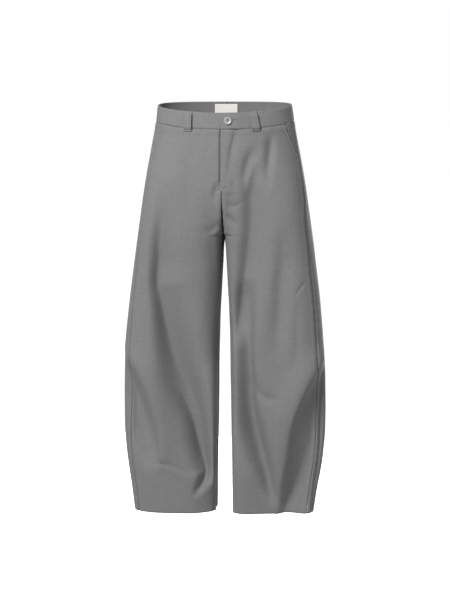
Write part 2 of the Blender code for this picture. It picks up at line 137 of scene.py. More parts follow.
@dataclass(frozen=True)
class GarmentForm:
    """The smooth form that every piece of cloth lies on."""

    sections: tuple[Section, ...] = SECTIONS
    waist_tilt: float = 0.0145
    waist_sag: float = 0.006
    level_rings_below: float = -0.20
    crotch_rise: float = 0.130
    crotch_reach: float = 0.11
    crotch_curve: float = 2.8
    side_rise: float = 0.300
    side_start: float = 0.15
    side_span: float = 0.50
    inseam_start: float = 0.004
    torso_squareness: float = 2.2
    leg_squareness: float = 3.0
    inner_squareness: tuple[float, float] = (3.3, 5.6)
    squareness_levels: tuple[float, float] = (-0.46, -0.72)
    level_step: float = 0.001
    turn_step: float = 0.004

    def column(self, name: str, level: np.ndarray) -> np.ndarray:
        """Read one column of the sections at many levels, on smooth curves.

        Args:
            name: the column.
            level: levels, of any shape.

        Returns:
            The column's value at each level.
        """
        heights = np.array([section.level for section in self.sections])[::-1]
        values = np.array([getattr(section, name) for section in self.sections])[::-1]
        level = np.clip(level, heights[0], heights[-1])
        low = np.clip(np.searchsorted(heights, level, side="right") - 1, 0, len(heights) - 2)
        high = low + 1
        before = np.maximum(low - 1, 0)
        after = np.minimum(high + 1, len(heights) - 1)
        span = heights[high] - heights[low]
        part = (level - heights[low]) / span
        slope_low = (values[high] - values[before]) / (heights[high] - heights[before])
        slope_high = (values[after] - values[low]) / (heights[after] - heights[low])
        return ((2 * part ** 3 - 3 * part ** 2 + 1) * values[low]
                + (part ** 3 - 2 * part ** 2 + part) * span * slope_low
                + (3 * part ** 2 - 2 * part ** 3) * values[high]
                + (part ** 3 - part ** 2) * span * slope_high)

    def outer(self, side: int, level: np.ndarray) -> np.ndarray:
        """How far out one side reaches at each level."""
        return self.column("outer_left" if side == LEFT else "outer_right", level)

    def inner(self, level: np.ndarray) -> np.ndarray:
        """How far the inner edge lies from the centre plane at each level."""
        opened = np.clip((CROTCH - level) / self.inseam_start, 0.0, 1.0)
        return GAP / 2 + opened * (self.column("inner", level) - GAP / 2)

    def width_power(self, level: np.ndarray) -> np.ndarray:
        """Spacing round the ring: 1 on the torso's ring, 2 on a leg's own ring."""
        return 1.0 + smooth_step((CROTCH + self.crotch_rise - level) / self.crotch_rise)

    def seam_turn(self, level: np.ndarray) -> np.ndarray:
        """Where the side seam lies round the ring."""
        return 1.0 - self.column("seam", level)

    def turn_at_x(self, side: int, distance: np.ndarray, level: np.ndarray) -> np.ndarray:
        """The turn on the front at a distance from the centre plane.

        Args:
            side: LEFT or RIGHT.
            distance: metres from the centre plane, negative across it.
            level: the levels.

        Returns:
            The turns.
        """
        inner = self.inner(level)
        reach = (distance - inner) / (self.outer(side, level) - inner)
        angle = np.arcsin(np.minimum(np.abs(reach), 1.0) ** (1.0 / self.width_power(level)))
        return np.copysign(angle * 2.0 / math.pi, reach)

    def points(self, side: int, turn: np.ndarray, level: np.ndarray) -> np.ndarray:
        """Points of the smooth form.

        Args:
            side: LEFT or RIGHT.
            turn: places round the ring.
            level: levels, of the same shape.

        Returns:
            Points, with x, y and z in a last axis.
        """
        torso = level > CROTCH
        across_centre = torso & ((turn < 0.0) | (turn > 2.0))
        folded = np.where(turn < 0.0, -turn, np.where(turn > 2.0, 4.0 - turn, turn))
        turn = np.where(torso, folded, np.mod(turn, 2.0))
        facing_back = turn > 1.0
        quarter = np.where(facing_back, 2.0 - turn, turn)
        sine = np.maximum(np.sin(math.pi * quarter / 2.0), 0.0)
        across = sine ** self.width_power(level)
        inner = self.inner(level)
        x = inner + (self.outer(side, level) - inner) * across

        inner_power = np.interp(-level, np.negative(self.squareness_levels), self.inner_squareness)
        leg_power = np.where(across < 0.5, inner_power, self.leg_squareness)
        leg_bulge = np.maximum(1.0 - np.abs(2.0 * across - 1.0) ** leg_power, 0.0)
        leg_bulge = leg_bulge ** (1.0 / leg_power)
        torso_bulge = np.maximum(1.0 - across ** self.torso_squareness, 0.0)
        torso_bulge = torso_bulge ** (1.0 / self.torso_squareness)
        sideways = smooth_step((across - self.side_start) / self.side_span)
        rise_height = self.crotch_rise + (self.side_rise - self.crotch_rise) * sideways
        rise = np.clip((level - CROTCH) / rise_height, 0.0, 1.0)
        centre_share = np.exp(-(across / self.crotch_reach) ** 2)
        under = np.sqrt(1.0 - (1.0 - rise) ** self.crotch_curve)
        joined = centre_share * under + (1.0 - centre_share) * smooth_step(rise)
        bulge = joined * torso_bulge + (1.0 - joined) * leg_bulge
        middle = self.column("middle", level)
        y = np.where(
            facing_back,
            middle + (self.column("back", level) - middle) * bulge,
            middle - (self.column("front", level) + middle) * bulge)

        way = -np.cos(math.pi * turn / 2.0)
        tilt = self.waist_tilt * way - self.waist_sag * way * way
        fade = (level - self.level_rings_below) / (BAND_SEAM - self.level_rings_below)
        z = level + tilt * smooth_step(fade)
        x = side * np.where(across_centre, -x, x)
        return np.stack([x, y, z], axis=-1)

    def normals(self, side: int, turn: np.ndarray, level: np.ndarray) -> np.ndarray:
        """Outward unit normals of the smooth form.

        Args:
            side: LEFT or RIGHT.
            turn: places round the ring.
            level: levels, of the same shape.

        Returns:
            Unit vectors in a last axis.
        """
        upper = level + self.level_step
        lower = level - self.level_step
        torso = level > CROTCH
        lower = np.where(torso, np.maximum(lower, CROTCH + self.level_step / 100), lower)
        upper = np.where(torso, upper, np.minimum(upper, CROTCH))
        along = (self.points(side, turn + self.turn_step, level)
                 - self.points(side, turn - self.turn_step, level))
        down = self.points(side, turn, lower) - self.points(side, turn, upper)
        normal = np.cross(down, along) * side
        return normal / np.linalg.norm(normal, axis=-1, keepdims=True)

    def past(self, side: int, turn: np.ndarray, level: np.ndarray, distance: float) -> np.ndarray:
        """The turn that lies a short way further round the ring.

        Args:
            side: LEFT or RIGHT.
            turn: places round the ring.
            level: the levels.
            distance: metres round the ring.

        Returns:
            The turns.
        """
        ahead = self.points(side, turn + self.turn_step, level)
        stretch = np.linalg.norm(ahead - self.points(side, turn, level), axis=-1)
        return turn + distance * self.turn_step / stretch


Row = tuple[float, float, float, float, float]


@dataclass(frozen=True)
class Crease:
    """A soft trough (height below 0) or ridge (above 0) along a curve.

    Each row holds a distance from the centre plane, a height above the origin, the
    relief there, and the widths over which it falls off, all in millimetres. On a
    crease that runs down, the first width is the one towards the centre plane.
    """

    side: int
    face: Face
    rows: tuple[Row, ...]


CREASES = (
    # Right leg, front: the ridge of the barrel and the hollow outside it
    Crease(RIGHT, Face.FRONT, (
        (262, -560, 0, 30, 16), (232, -600, 6, 30, 16), (198, -655, 11, 34, 18),
        (177, -715, 13, 34, 18), (160, -780, 11, 30, 18), (156, -842, 7, 26, 16),
        (166, -900, 0, 20, 14))),
    Crease(RIGHT, Face.FRONT, (
        (258, -610, -8, 18, 30), (240, -650, -22, 26, 32), (219, -710, -33, 32, 38),
        (199, -780, -29, 32, 38), (186, -840, -16, 26, 32), (180, -900, 0, 18, 26))),
    # Right leg, front: the long valley from the hip to the shin, and the folds by it
    Crease(RIGHT, Face.FRONT, (
        (140, -150, 0, 34, 18), (145, -230, -8, 36, 18), (152, -300, -18, 38, 18),
        (156, -370, -27, 42, 18), (160, -420, -29, 44, 16), (151, -462, -34, 48, 18),
        (141, -520, -42, 50, 22), (126, -590, -50, 52, 28), (106, -650, -54, 46, 36),
        (82, -712, -53, 36, 38), (64, -767, -48, 26, 36), (53, -825, -45, 20, 31),
        (45, -875, -40, 15, 24), (44, -905, -30, 12, 15), (60, -936, -14.5, 10, 11),
        (78, -962, 0, 8, 9))),
    Crease(RIGHT, Face.FRONT, (
        (148, -640, 0, 10, 12), (120, -690, -6, 10, 12), (99, -722, -10, 9, 12),
        (84, -755, -11, 9, 12), (74, -787, -11, 9, 12), (67, -820, -10, 9, 11),
        (59, -852, -8, 9, 10), (50, -890, 0, 8, 9))),
    Crease(RIGHT, Face.FRONT, (
        (172, -770, 0, 4, 6), (169, -815, -2.4, 4, 6), (166, -855, -3, 4, 6),
        (163, -895, 0, 4, 6))),
    Crease(RIGHT, Face.FRONT, (
        (176, -866, 0, 5, 5), (161, -872, -2, 5, 5), (141, -873, -2.2, 5, 5),
        (119, -880, -2, 5, 5), (90, -895, -1.6, 5, 5), (70, -906, 0, 5, 5))),
    Crease(RIGHT, Face.FRONT, (
        (165, -884, 0, 12, 10), (130, -892, 1.2, 12, 10), (92, -908, 1.2, 12, 10),
        (70, -922, 0, 12, 10))),
    # Right side, front: soft marks at the hip, the fly, the crotch, the thigh and the hem
    Crease(RIGHT, Face.FRONT, (
        (89, -70, 0, 14, 16), (86, -130, -2.2, 14, 16), (81, -200, -2, 14, 16),
        (78, -260, 0, 14, 16))),
    Crease(RIGHT, Face.FRONT, (
        (0, -262, -1.5, 8, 10), (12, -273, -3, 8, 10), (28, -284, -2.8, 8, 11),
        (44, -292, -1.4, 8, 11), (62, -298, 0, 8, 11))),
    Crease(RIGHT, Face.FRONT, (
        (36, -285, 0, 10, 12), (27, -310, -3, 10, 14), (22, -360, -3, 10, 16),
        (21, -430, -3, 10, 18), (21, -510, -6, 12, 24), (24, -590, -8, 12, 28),
        (28, -690, 0, 12, 28))),
    Crease(RIGHT, Face.FRONT, (
        (32, -920, 0, 14, 30), (31, -970, -11, 14, 34), (31, -1030, -14, 14, 36))),
    Crease(RIGHT, Face.FRONT, (
        (2, -160, 0, 4, 7), (10, -179, -4.5, 5, 8), (15, -196, -4, 6, 9),
        (17, -225, 0, 6, 9))),
    Crease(RIGHT, Face.FRONT, (
        (112, -230, 0, 26, 30), (107, -330, 3, 26, 30), (102, -450, 3, 26, 30),
        (98, -560, 0, 26, 30))),
    # Left leg, front: the ridge of the barrel and the hollow outside it
    Crease(LEFT, Face.FRONT, (
        (270, -575, 0, 30, 14), (238, -612, 10.5, 40, 13), (203, -672, 16.5, 46, 14),
        (174, -738, 17.5, 46, 14), (160, -800, 15, 42, 14), (153, -856, 12, 36, 15),
        (138, -920, 5.5, 30, 14), (112, -972, 0, 20, 12))),
    Crease(LEFT, Face.FRONT, (
        (258, -622, -6, 18, 30), (244, -668, -18, 26, 30), (231, -735, -26, 36, 36),
        (217, -815, -31, 42, 40), (198, -887, -34, 36, 44), (176, -945, -33, 26, 46),
        (161, -985, -29, 22, 46), (153, -1030, -25, 22, 46))),
    # Left leg, front: the two valleys by the inseam, and the folds beside them
    Crease(LEFT, Face.FRONT, (
        (84, -115, 0, 9, 14), (79, -150, -6, 10, 16), (75, -180, -10, 13, 20),
        (73, -210, -15, 18, 28), (71, -268, -21, 22, 36), (64, -336, -24, 23, 38),
        (55, -394, -25, 20, 36), (45, -450, -26, 18, 34), (36, -510, -20, 16, 30),
        (30, -580, 0, 14, 24))),
    Crease(LEFT, Face.FRONT, (
        (68, -400, 0, 22, 16), (66, -450, -13, 28, 14), (64, -510, -26, 34, 13),
        (63, -570, -34, 36, 13), (64, -630, -40, 37, 14), (67, -700, -45, 37, 16),
        (73, -750, -47, 36, 18), (82, -795, -47, 36, 20), (91, -830, -44, 33, 20),
        (103, -875, -36, 27, 20), (113, -908, -29, 22, 18), (122, -938, -19, 17, 14),
        (130, -965, -8.5, 13, 11), (138, -995, 0, 10, 10))),
    Crease(LEFT, Face.FRONT, (
        (90, -880, 0, 60, 14), (110, -950, -10, 60, 14), (124, -1030, -12, 60, 14))),
    Crease(LEFT, Face.FRONT, (
        (76, -640, 0, 12, 12), (86, -676, -5, 12, 11), (104, -696, -5, 12, 10),
        (130, -698, -2.2, 11, 10), (158, -690, 0, 10, 9))),
    Crease(LEFT, Face.FRONT, (
        (148, -250, 0, 18, 20), (148, -340, -7, 18, 22), (142, -420, -10.5, 18, 22),
        (139, -500, -9.5, 18, 22), (135, -560, -5, 18, 22), (130, -620, 0, 16, 20))),
    Crease(LEFT, Face.FRONT, (
        (184, -440, 0, 10, 10), (183, -500, -2.2, 10, 10), (181, -580, -2.2, 10, 10),
        (174, -660, 0, 10, 10))),
    Crease(LEFT, Face.FRONT, (
        (201, -404, 0, 3, 5), (196, -414, -1.8, 3, 5), (188, -424, -2.4, 3, 5),
        (181, -435, -1.4, 3, 5), (177, -446, 0, 3, 5))),
    # Left side, front: drags from the hip to the fly, and small ones at crotch and hem
    Crease(LEFT, Face.FRONT, (
        (108, -50, 0, 12, 18), (86, -78, -0.8, 12, 16), (68, -104, -5.5, 11, 14),
        (58, -135, -7.5, 10, 13), (54, -168, -3.5, 9, 11), (60, -200, -2, 9, 10),
        (68, -235, 0, 9, 10))),
    Crease(LEFT, Face.FRONT, (
        (112, -45, 0, 12, 11), (115, -80, -8, 12, 10), (113, -115, -8.5, 12, 10),
        (110, -150, -5, 12, 10), (112, -205, 0, 12, 10))),
    Crease(LEFT, Face.FRONT, (
        (38, -30, 0, 6, 10), (30, -60, -3, 6, 10), (21, -98, -3.5, 6, 10),
        (17, -135, -2.5, 6, 10), (16, -165, 0, 6, 10))),
    Crease(LEFT, Face.FRONT, (
        (8, -208, 0, 6, 6), (18, -222, -2.6, 6, 6), (34, -223, -2.4, 6, 6),
        (54, -210, 0, 6, 6))),
    Crease(LEFT, Face.FRONT, (
        (4, -244, 0, 6, 7), (16, -254, -2.8, 6, 7), (28, -264, -2.6, 6, 7),
        (42, -282, 0, 6, 7))),
    Crease(LEFT, Face.FRONT, (
        (30, -905, 0, 3, 4), (33, -930, -2.8, 3, 4), (34, -975, -2.8, 3, 4),
        (34, -1020, -2, 3, 4))),
    # Backs: under the seat, behind the knee, and the barrel as on the fronts
    Crease(RIGHT, Face.BACK, (
        (10, -250, 0, 15, 18), (35, -288, -8, 15, 18), (75, -325, -10.5, 15, 18),
        (125, -342, -6, 15, 18), (165, -345, 0, 15, 18))),
    Crease(RIGHT, Face.BACK, (
        (22, -295, 0, 14, 16), (52, -335, -6, 14, 16), (82, -372, -7, 14, 16),
        (128, -402, 0, 14, 16))),
    Crease(RIGHT, Face.BACK, (
        (270, -555, 0, 30, 14), (236, -598, 8.5, 38, 12), (200, -660, 12, 45, 12),
        (168, -740, 11, 45, 12), (152, -840, 7, 35, 12), (148, -930, 0, 20, 12))),
    Crease(RIGHT, Face.BACK, (
        (275, -610, -11, 18, 30), (240, -648, -14, 18, 30), (206, -730, -13, 18, 26),
        (187, -830, -8, 18, 26), (180, -940, 0, 18, 26))),
    Crease(RIGHT, Face.BACK, (
        (146, -400, 0, 26, 22), (130, -490, -10, 26, 22), (110, -580, -12, 26, 22),
        (94, -690, -12.5, 24, 20), (82, -800, -10, 20, 20), (78, -900, 0, 18, 18))),
    Crease(RIGHT, Face.BACK, (
        (52, -548, 0, 10, 10), (85, -583, -5, 10, 10), (125, -600, -4.5, 10, 10),
        (165, -602, 0, 10, 10))),
    Crease(RIGHT, Face.BACK, (
        (70, -45, 0, 11, 12), (86, -92, -4, 11, 12), (110, -140, -3, 11, 12),
        (130, -175, 0, 11, 12))),
    Crease(LEFT, Face.BACK, (
        (8, -256, 0, 15, 18), (34, -292, -8, 15, 18), (70, -322, -10, 15, 18),
        (118, -346, -6, 15, 18), (160, -356, 0, 15, 18))),
    Crease(LEFT, Face.BACK, (
        (26, -300, 0, 14, 16), (50, -345, -6.2, 14, 16), (78, -388, -6.6, 14, 16),
        (118, -425, 0, 14, 16))),
    Crease(LEFT, Face.BACK, (
        (270, -565, 0, 30, 14), (236, -606, 8.5, 38, 12), (198, -668, 12, 45, 12),
        (166, -748, 11, 45, 12), (156, -835, 7, 35, 12), (160, -915, 0, 20, 12))),
    Crease(LEFT, Face.BACK, (
        (275, -620, -11, 18, 30), (240, -658, -14, 18, 30), (206, -738, -13, 18, 26),
        (190, -835, -8, 18, 26), (190, -935, 0, 18, 26))),
    Crease(LEFT, Face.BACK, (
        (136, -420, 0, 24, 24), (124, -505, -10, 24, 24), (114, -595, -12.5, 24, 24),
        (102, -700, -12, 22, 22), (92, -820, -9, 20, 20), (84, -920, 0, 18, 18))),
    Crease(LEFT, Face.BACK, (
        (58, -565, 0, 10, 10), (90, -596, -5, 10, 10), (128, -608, -4.2, 10, 10),
        (160, -606, 0, 10, 10))),
    Crease(LEFT, Face.BACK, (
        (64, -50, 0, 11, 12), (80, -102, -4, 11, 12), (106, -150, -3, 11, 12),
        (128, -185, 0, 11, 12))),
)


@dataclass(frozen=True)
class CreaseField:
    """All the creases, and the slow unevenness of pressed cloth between them."""

    creases: tuple[Crease, ...] = CREASES
    samples_a_row: int = 6
    side_fade: float = 0.12
    seam_fade: float = 0.07
    seam_share: float = 0.85
    centre_fade: float = 0.03
    inseam_fade: float = 0.055
    way_share: tuple[float, float, float] = (0.22, 1.0, 0.6)
    slow_height: float = 0.0014
    slow_scale: tuple[float, float, float] = (11.0, 11.0, 5.0)
    fine_height: float = 0.00045
    fine_scale: tuple[float, float, float] = (34.0, 34.0, 17.0)

    def curve(self, crease: Crease) -> np.ndarray:
        """Rows spread closely along a crease, on a smooth curve through its own.

        Args:
            crease: the crease.

        Returns:
            Rows of the same five numbers, in metres. The relief and the widths stay
            level at both ends.
        """
        rows = np.array(crease.rows) * MILLIMETRE
        ends = np.vstack([2 * rows[0] - rows[1], rows, 2 * rows[-1] - rows[-2]])
        ends[0, 2:] = rows[1, 2:]
        ends[-1, 2:] = rows[-2, 2:]
        count = (len(rows) - 1) * self.samples_a_row
        place = np.linspace(0.0, len(rows) - 1.0, count + 1)
        start = np.minimum(place.astype(int), len(rows) - 2)
        part = (place - start)[:, None]
        a, b, c, d = ends[start], ends[start + 1], ends[start + 2], ends[start + 3]
        return 0.5 * (2 * b + (c - a) * part + (2 * a - 5 * b + 4 * c - d) * part ** 2
                      + (3 * b - a - 3 * c + d) * part ** 3)

    def one(self, crease: Crease, spots: np.ndarray) -> np.ndarray:
        """Relief of one crease.

        Args:
            crease: the crease.
            spots: places, as distance from the centre plane and height.

        Returns:
            Metres along the normal at each place.
        """
        curve = self.curve(crease)
        nearest = np.full(len(spots), np.inf)
        height = np.zeros(len(spots))
        width = np.ones(len(spots))
        for first, second in zip(curve[:-1], curve[1:]):
            run = second[:2] - first[:2]
            away = spots - first[:2]
            part = np.clip(away @ run / (run @ run), 0.0, 1.0)
            away = away - part[:, None] * run
            distance = np.hypot(away[:, 0], away[:, 1])
            closer = distance < nearest
            outside = run[0] * away[:, 1] - run[1] * away[:, 0] > 0.0
            inner = first[3] + (second[3] - first[3]) * part
            outer = first[4] + (second[4] - first[4]) * part
            nearest[closer] = distance[closer]
            height[closer] = (first[2] + (second[2] - first[2]) * part)[closer]
            width[closer] = np.where(outside, outer, inner)[closer]
        return height * np.exp(-(nearest / width) ** 2)

    def relief(self, side: int, turn: np.ndarray, level: np.ndarray,
               points: np.ndarray) -> np.ndarray:
        """Relief of every crease and of the slow unevenness.

        Args:
            side: LEFT or RIGHT.
            turn: places round the ring.
            level: the levels.
            points: the smooth form's points there.

        Returns:
            Metres along the normal.
        """
        height = np.zeros(turn.shape)
        on_back = turn > 1.0
        spots = np.stack([np.abs(points[..., 0]), points[..., 2]], axis=-1)
        for face in Face:
            chosen = on_back if face is Face.BACK else ~on_back
            for crease in self.creases:
                if crease.side == side and crease.face is face and chosen.any():
                    height[chosen] += self.one(crease, spots[chosen])
        leg_share = FORM.width_power(level) - 1.0
        reach = self.centre_fade + (self.inseam_fade - self.centre_fade) * leg_share
        height *= smooth_step(np.minimum(np.maximum(turn, 0.0), np.maximum(2.0 - turn, 0.0)) / reach)
        height *= smooth_step(np.abs(turn - 1.0) / self.side_fade)
        to_seam = np.abs(turn - FORM.seam_turn(level)) / self.seam_fade
        height *= self.seam_share + (1.0 - self.seam_share) * smooth_step(to_seam)
        return height + self.unevenness(points)

    def creased(self, side: int, turn: np.ndarray, level: np.ndarray) -> np.ndarray:
        """Points of the form with the creases in it.

        The cloth moves mostly forwards and backwards, so that each crease stays at the
        distance from the centre plane that its rows give.

        Args:
            side: LEFT or RIGHT.
            turn: places round the ring.
            level: the levels.

        Returns:
            Points, with x, y and z in a last axis.
        """
        points = FORM.points(side, turn, level)
        way = FORM.normals(side, turn, level) * np.array(self.way_share)
        way = way / np.linalg.norm(way, axis=-1, keepdims=True)
        return points + way * self.relief(side, turn, level, points)[..., None]

    def unevenness(self, points: np.ndarray) -> np.ndarray:
        """The slow and fine swells of the cloth.

        Args:
            points: the points.

        Returns:
            Metres along the normal at each point.
        """
        flat = points.reshape(-1, 3)
        slow = flat * np.array(self.slow_scale)
        fine = flat * np.array(self.fine_scale)
        swell = [self.slow_height * noise.noise(Vector(a)) + self.fine_height * noise.noise(Vector(b))
                 for a, b in zip(slow, fine)]
        return np.array(swell).reshape(points.shape[:-1])


FORM = GarmentForm()
FIELD = CreaseField()


Value = bpy.types.NodeSocket | float | tuple[float, ...]


class GroupBuilder:
    """Makes a shader node group with named sockets."""

    def __init__(self, name: str) -> None:
        """Start an empty group.

        Args:
            name: the group's name.
        """
        self.tree = bpy.data.node_groups.new(name, "ShaderNodeTree")
        self.start = self.tree.nodes.new("NodeGroupInput")
        self.end = self.tree.nodes.new("NodeGroupOutput")

    def give(self, name: str, kind: str, value: Value | None = None) -> bpy.types.NodeSocket:
        """Add an input.

        Args:
            name: the socket's name.
            kind: Float, Color or Vector.
            value: its default.

        Returns:
            The socket inside the group.
        """
        socket = self.tree.interface.new_socket(name, in_out="INPUT", socket_type="NodeSocket" + kind)
        if value is not None:
            socket.default_value = value
        return self.start.outputs[name]

    def put(self, name: str, kind: str, source: bpy.types.NodeSocket) -> None:
        """Add an output called name and join it to source."""
        self.tree.interface.new_socket(name, in_out="OUTPUT", socket_type="NodeSocket" + kind)
        self.tree.links.new(source, self.end.inputs[name])

    def math(self, operation: str, *values: Value) -> bpy.types.NodeSocket:
        """Add a Math node.

        Args:
            operation: what it does.
            values: its inputs, as sockets or numbers.

        Returns:
            Its output.
        """
        node = self.tree.nodes.new("ShaderNodeMath")
        node.operation = operation
        for socket, value in zip(node.inputs, values):
            self.set(socket, value)
        return node.outputs[0]

    def mix(self, factor: Value, first: Value, second: Value) -> bpy.types.NodeSocket:
        """Add a mix of two colours.

        Args:
            factor: 0 for the first colour to 1 for the second.
            first: a colour.
            second: another colour.

        Returns:
            The mixed colour.
        """
        node = self.tree.nodes.new("ShaderNodeMix")
        node.data_type = "RGBA"
        self.set(node.inputs[0], factor)
        self.set(node.inputs[6], first)
        self.set(node.inputs[7], second)
        return node.outputs[2]

    def stretched(self, vector: bpy.types.NodeSocket,
                  scale: tuple[float, float, float]) -> bpy.types.NodeSocket:
        """Stretch a vector.

        Args:
            vector: its socket.
            scale: what each axis is multiplied by.

        Returns:
            The stretched vector.
        """
        node = self.tree.nodes.new("ShaderNodeVectorMath")
        node.operation = "MULTIPLY"
        self.tree.links.new(vector, node.inputs[0])
        node.inputs[1].default_value = scale
        return node.outputs[0]

    def noise(self, vector: bpy.types.NodeSocket, scale: float,
              detail: float = 2.0) -> bpy.types.NodeSocket:
        """Add a noise.

        Args:
            vector: where it is read.
            scale: how fine it is.
            detail: how many finer octaves it has.

        Returns:
            A value from 0 to 1.
        """
        node = self.tree.nodes.new("ShaderNodeTexNoise")
        self.tree.links.new(vector, node.inputs["Vector"])
        node.inputs["Scale"].default_value = scale
        node.inputs["Detail"].default_value = detail
        return node.outputs[0]

    def set(self, socket: bpy.types.NodeSocket, value: Value) -> None:
        """Join value to socket if it is a socket, or else store it there.

        Args:
            socket: an input.
            value: a socket, a number or a colour.
        """
        if isinstance(value, bpy.types.NodeSocket):
            self.tree.links.new(value, socket)
        else:
            socket.default_value = value


WARP_STRETCH = (1100.0, 45.0, 1.0)
WEFT_STRETCH = (38.0, 900.0, 1.0)
BROAD_WARP_STRETCH = (260.0, 9.0, 1.0)
BROAD_WEFT_STRETCH = (8.0, 300.0, 1.0)
FLECK_SCALE = 620.0
YARN_SHARE = 0.9
BROAD_SHARE = 0.25
FLECK_SHARE = 0.8
MIXED_MIDDLE = 1.55
WEAVE_TINT = 0.06
WEAVE_HEIGHT = 0.5
YARN_HEIGHT = 0.6


def weave_group() -> bpy.types.NodeTree:
    """The plain weave of melange yarn: colour and height from flat cloth metres.

    Returns:
        The node group, with Vector, Dark, Light, Streaks and Pitch going in.
    """
    group = GroupBuilder("melange_plain_weave")
    vector = group.give("Vector", "Vector")
    dark = group.give("Dark", "Color", (0.1, 0.1, 0.1, 1.0))
    light = group.give("Light", "Color", (0.2, 0.2, 0.2, 1.0))
    streaks = group.give("Streaks", "Float", 1.0)
    pitch = group.give("Pitch", "Float", 0.0009)
    parts = group.tree.nodes.new("ShaderNodeSeparateXYZ")
    group.tree.links.new(vector, parts.inputs[0])

    turns = group.math("DIVIDE", 2.0 * math.pi, pitch)
    across = group.math("SINE", group.math("MULTIPLY", parts.outputs[0], turns))
    along = group.math("SINE", group.math("MULTIPLY", parts.outputs[1], turns))
    weave = group.math("MULTIPLY", across, along)

    warp = group.noise(group.stretched(vector, WARP_STRETCH), 1.0)
    weft = group.noise(group.stretched(vector, WEFT_STRETCH), 1.0)
    broad_warp = group.noise(group.stretched(vector, BROAD_WARP_STRETCH), 1.0, 1.0)
    broad_weft = group.noise(group.stretched(vector, BROAD_WEFT_STRETCH), 1.0, 1.0)
    fleck = group.noise(vector, FLECK_SCALE, 3.0)
    yarn = group.math("ADD", group.math("MULTIPLY", warp, YARN_SHARE),
                      group.math("MULTIPLY", weft, YARN_SHARE))
    broad = group.math("ADD", broad_warp, broad_weft)
    mixed = group.math("ADD", yarn, group.math("MULTIPLY", broad, BROAD_SHARE))
    mixed = group.math("ADD", mixed, group.math("MULTIPLY", fleck, FLECK_SHARE))
    centred = group.math("SUBTRACT", mixed, MIXED_MIDDLE)
    factor = group.math("ADD", 0.5, group.math("MULTIPLY", centred, streaks))
    factor = group.math("ADD", factor, group.math("MULTIPLY", weave, WEAVE_TINT))
    clamp = group.tree.nodes.new("ShaderNodeClamp")
    group.tree.links.new(factor, clamp.inputs[0])
    group.put("Color", "Color", group.mix(clamp.outputs[0], dark, light))
    relief = group.math("ADD", group.math("MULTIPLY", weave, WEAVE_HEIGHT),
                        group.math("MULTIPLY", yarn, YARN_HEIGHT))
    group.put("Height", "Float", relief)
    return group.tree


WEAVE = weave_group()


def material_with(name: str) -> tuple[bpy.types.Material, bpy.types.Node, bpy.types.NodeTree]:
    """Make a material.

    Args:
        name: its name.

    Returns:
        The material, its Principled shader and its node tree.
    """
    material = bpy.data.materials.new(name)
    material.use_nodes = True
    tree = material.node_tree
    return material, tree.nodes["Principled BSDF"], tree


def add_bump(tree: bpy.types.NodeTree, shader: bpy.types.Node, height: bpy.types.NodeSocket,
             strength: float, distance: float) -> None:
    """Join a height to a shader's normal through a Bump node.

    Args:
        tree: the material's node tree.
        shader: the Principled shader.
        height: the height's socket.
        strength: the bump's strength.
        distance: the bump's depth in metres.
    """
    bump = tree.nodes.new("ShaderNodeBump")
    bump.inputs["Strength"].default_value = strength
    bump.inputs["Distance"].default_value = distance
    tree.links.new(height, bump.inputs["Height"])
    tree.links.new(bump.outputs["Normal"], shader.inputs["Normal"])


@dataclass(frozen=True)
class SuitingFinish:
    """Matt melange suiting in a plain weave."""

    name: str
    dark: tuple[float, float, float, float]
    light: tuple[float, float, float, float]
    streaks: float = 0.75
    pitch: float = 0.0009
    roughness: float = 0.88
    specular: float = 0.25
    sheen: float = 0.04
    sheen_roughness: float = 0.5
    bump: float = 0.12
    bump_depth: float = 0.00025

    def make(self) -> bpy.types.Material:
        """Build the material.

        Returns:
            The material, reading the piece's UV map in metres of flat cloth.
        """
        material, shader, tree = material_with(self.name)
        uv = tree.nodes.new("ShaderNodeUVMap")
        uv.uv_map = UV_NAME
        weave = tree.nodes.new("ShaderNodeGroup")
        weave.node_tree = WEAVE
        weave.inputs["Dark"].default_value = self.dark
        weave.inputs["Light"].default_value = self.light
        weave.inputs["Streaks"].default_value = self.streaks
        weave.inputs["Pitch"].default_value = self.pitch
        tree.links.new(uv.outputs[0], weave.inputs["Vector"])
        tree.links.new(weave.outputs["Color"], shader.inputs["Base Color"])
        shader.inputs["Roughness"].default_value = self.roughness
        shader.inputs["Specular IOR Level"].default_value = self.specular
        shader.inputs["Sheen Weight"].default_value = self.sheen
        shader.inputs["Sheen Roughness"].default_value = self.sheen_roughness
        add_bump(tree, shader, weave.outputs["Height"], self.bump, self.bump_depth)
        return material


@dataclass(frozen=True)
class PlainFinish:
    """Resin, thread or tape: one colour, clouded and grained by noise."""

    name: str
    dark: tuple[float, float, float, float]
    light: tuple[float, float, float, float]
    scale: float
    roughness: float
    specular: float = 0.5
    coat: float = 0.0
    bump: float = 0.1
    bump_depth: float = 0.0001

    def make(self) -> bpy.types.Material:
        """Build the material.

        Returns:
            The material, reading Object coordinates.
        """
        material, shader, tree = material_with(self.name)
        place = tree.nodes.new("ShaderNodeTexCoord")
        cloud = tree.nodes.new("ShaderNodeTexNoise")
        cloud.inputs["Scale"].default_value = self.scale
        cloud.inputs["Detail"].default_value = 3.0
        tree.links.new(place.outputs["Object"], cloud.inputs["Vector"])
        mix = tree.nodes.new("ShaderNodeMix")
        mix.data_type = "RGBA"
        mix.inputs[6].default_value = self.dark
        mix.inputs[7].default_value = self.light
        tree.links.new(cloud.outputs[0], mix.inputs[0])
        tree.links.new(mix.outputs[2], shader.inputs["Base Color"])
        shader.inputs["Roughness"].default_value = self.roughness
        shader.inputs["Specular IOR Level"].default_value = self.specular
        shader.inputs["Coat Weight"].default_value = self.coat
        add_bump(tree, shader, cloud.outputs[0], self.bump, self.bump_depth)
        return material


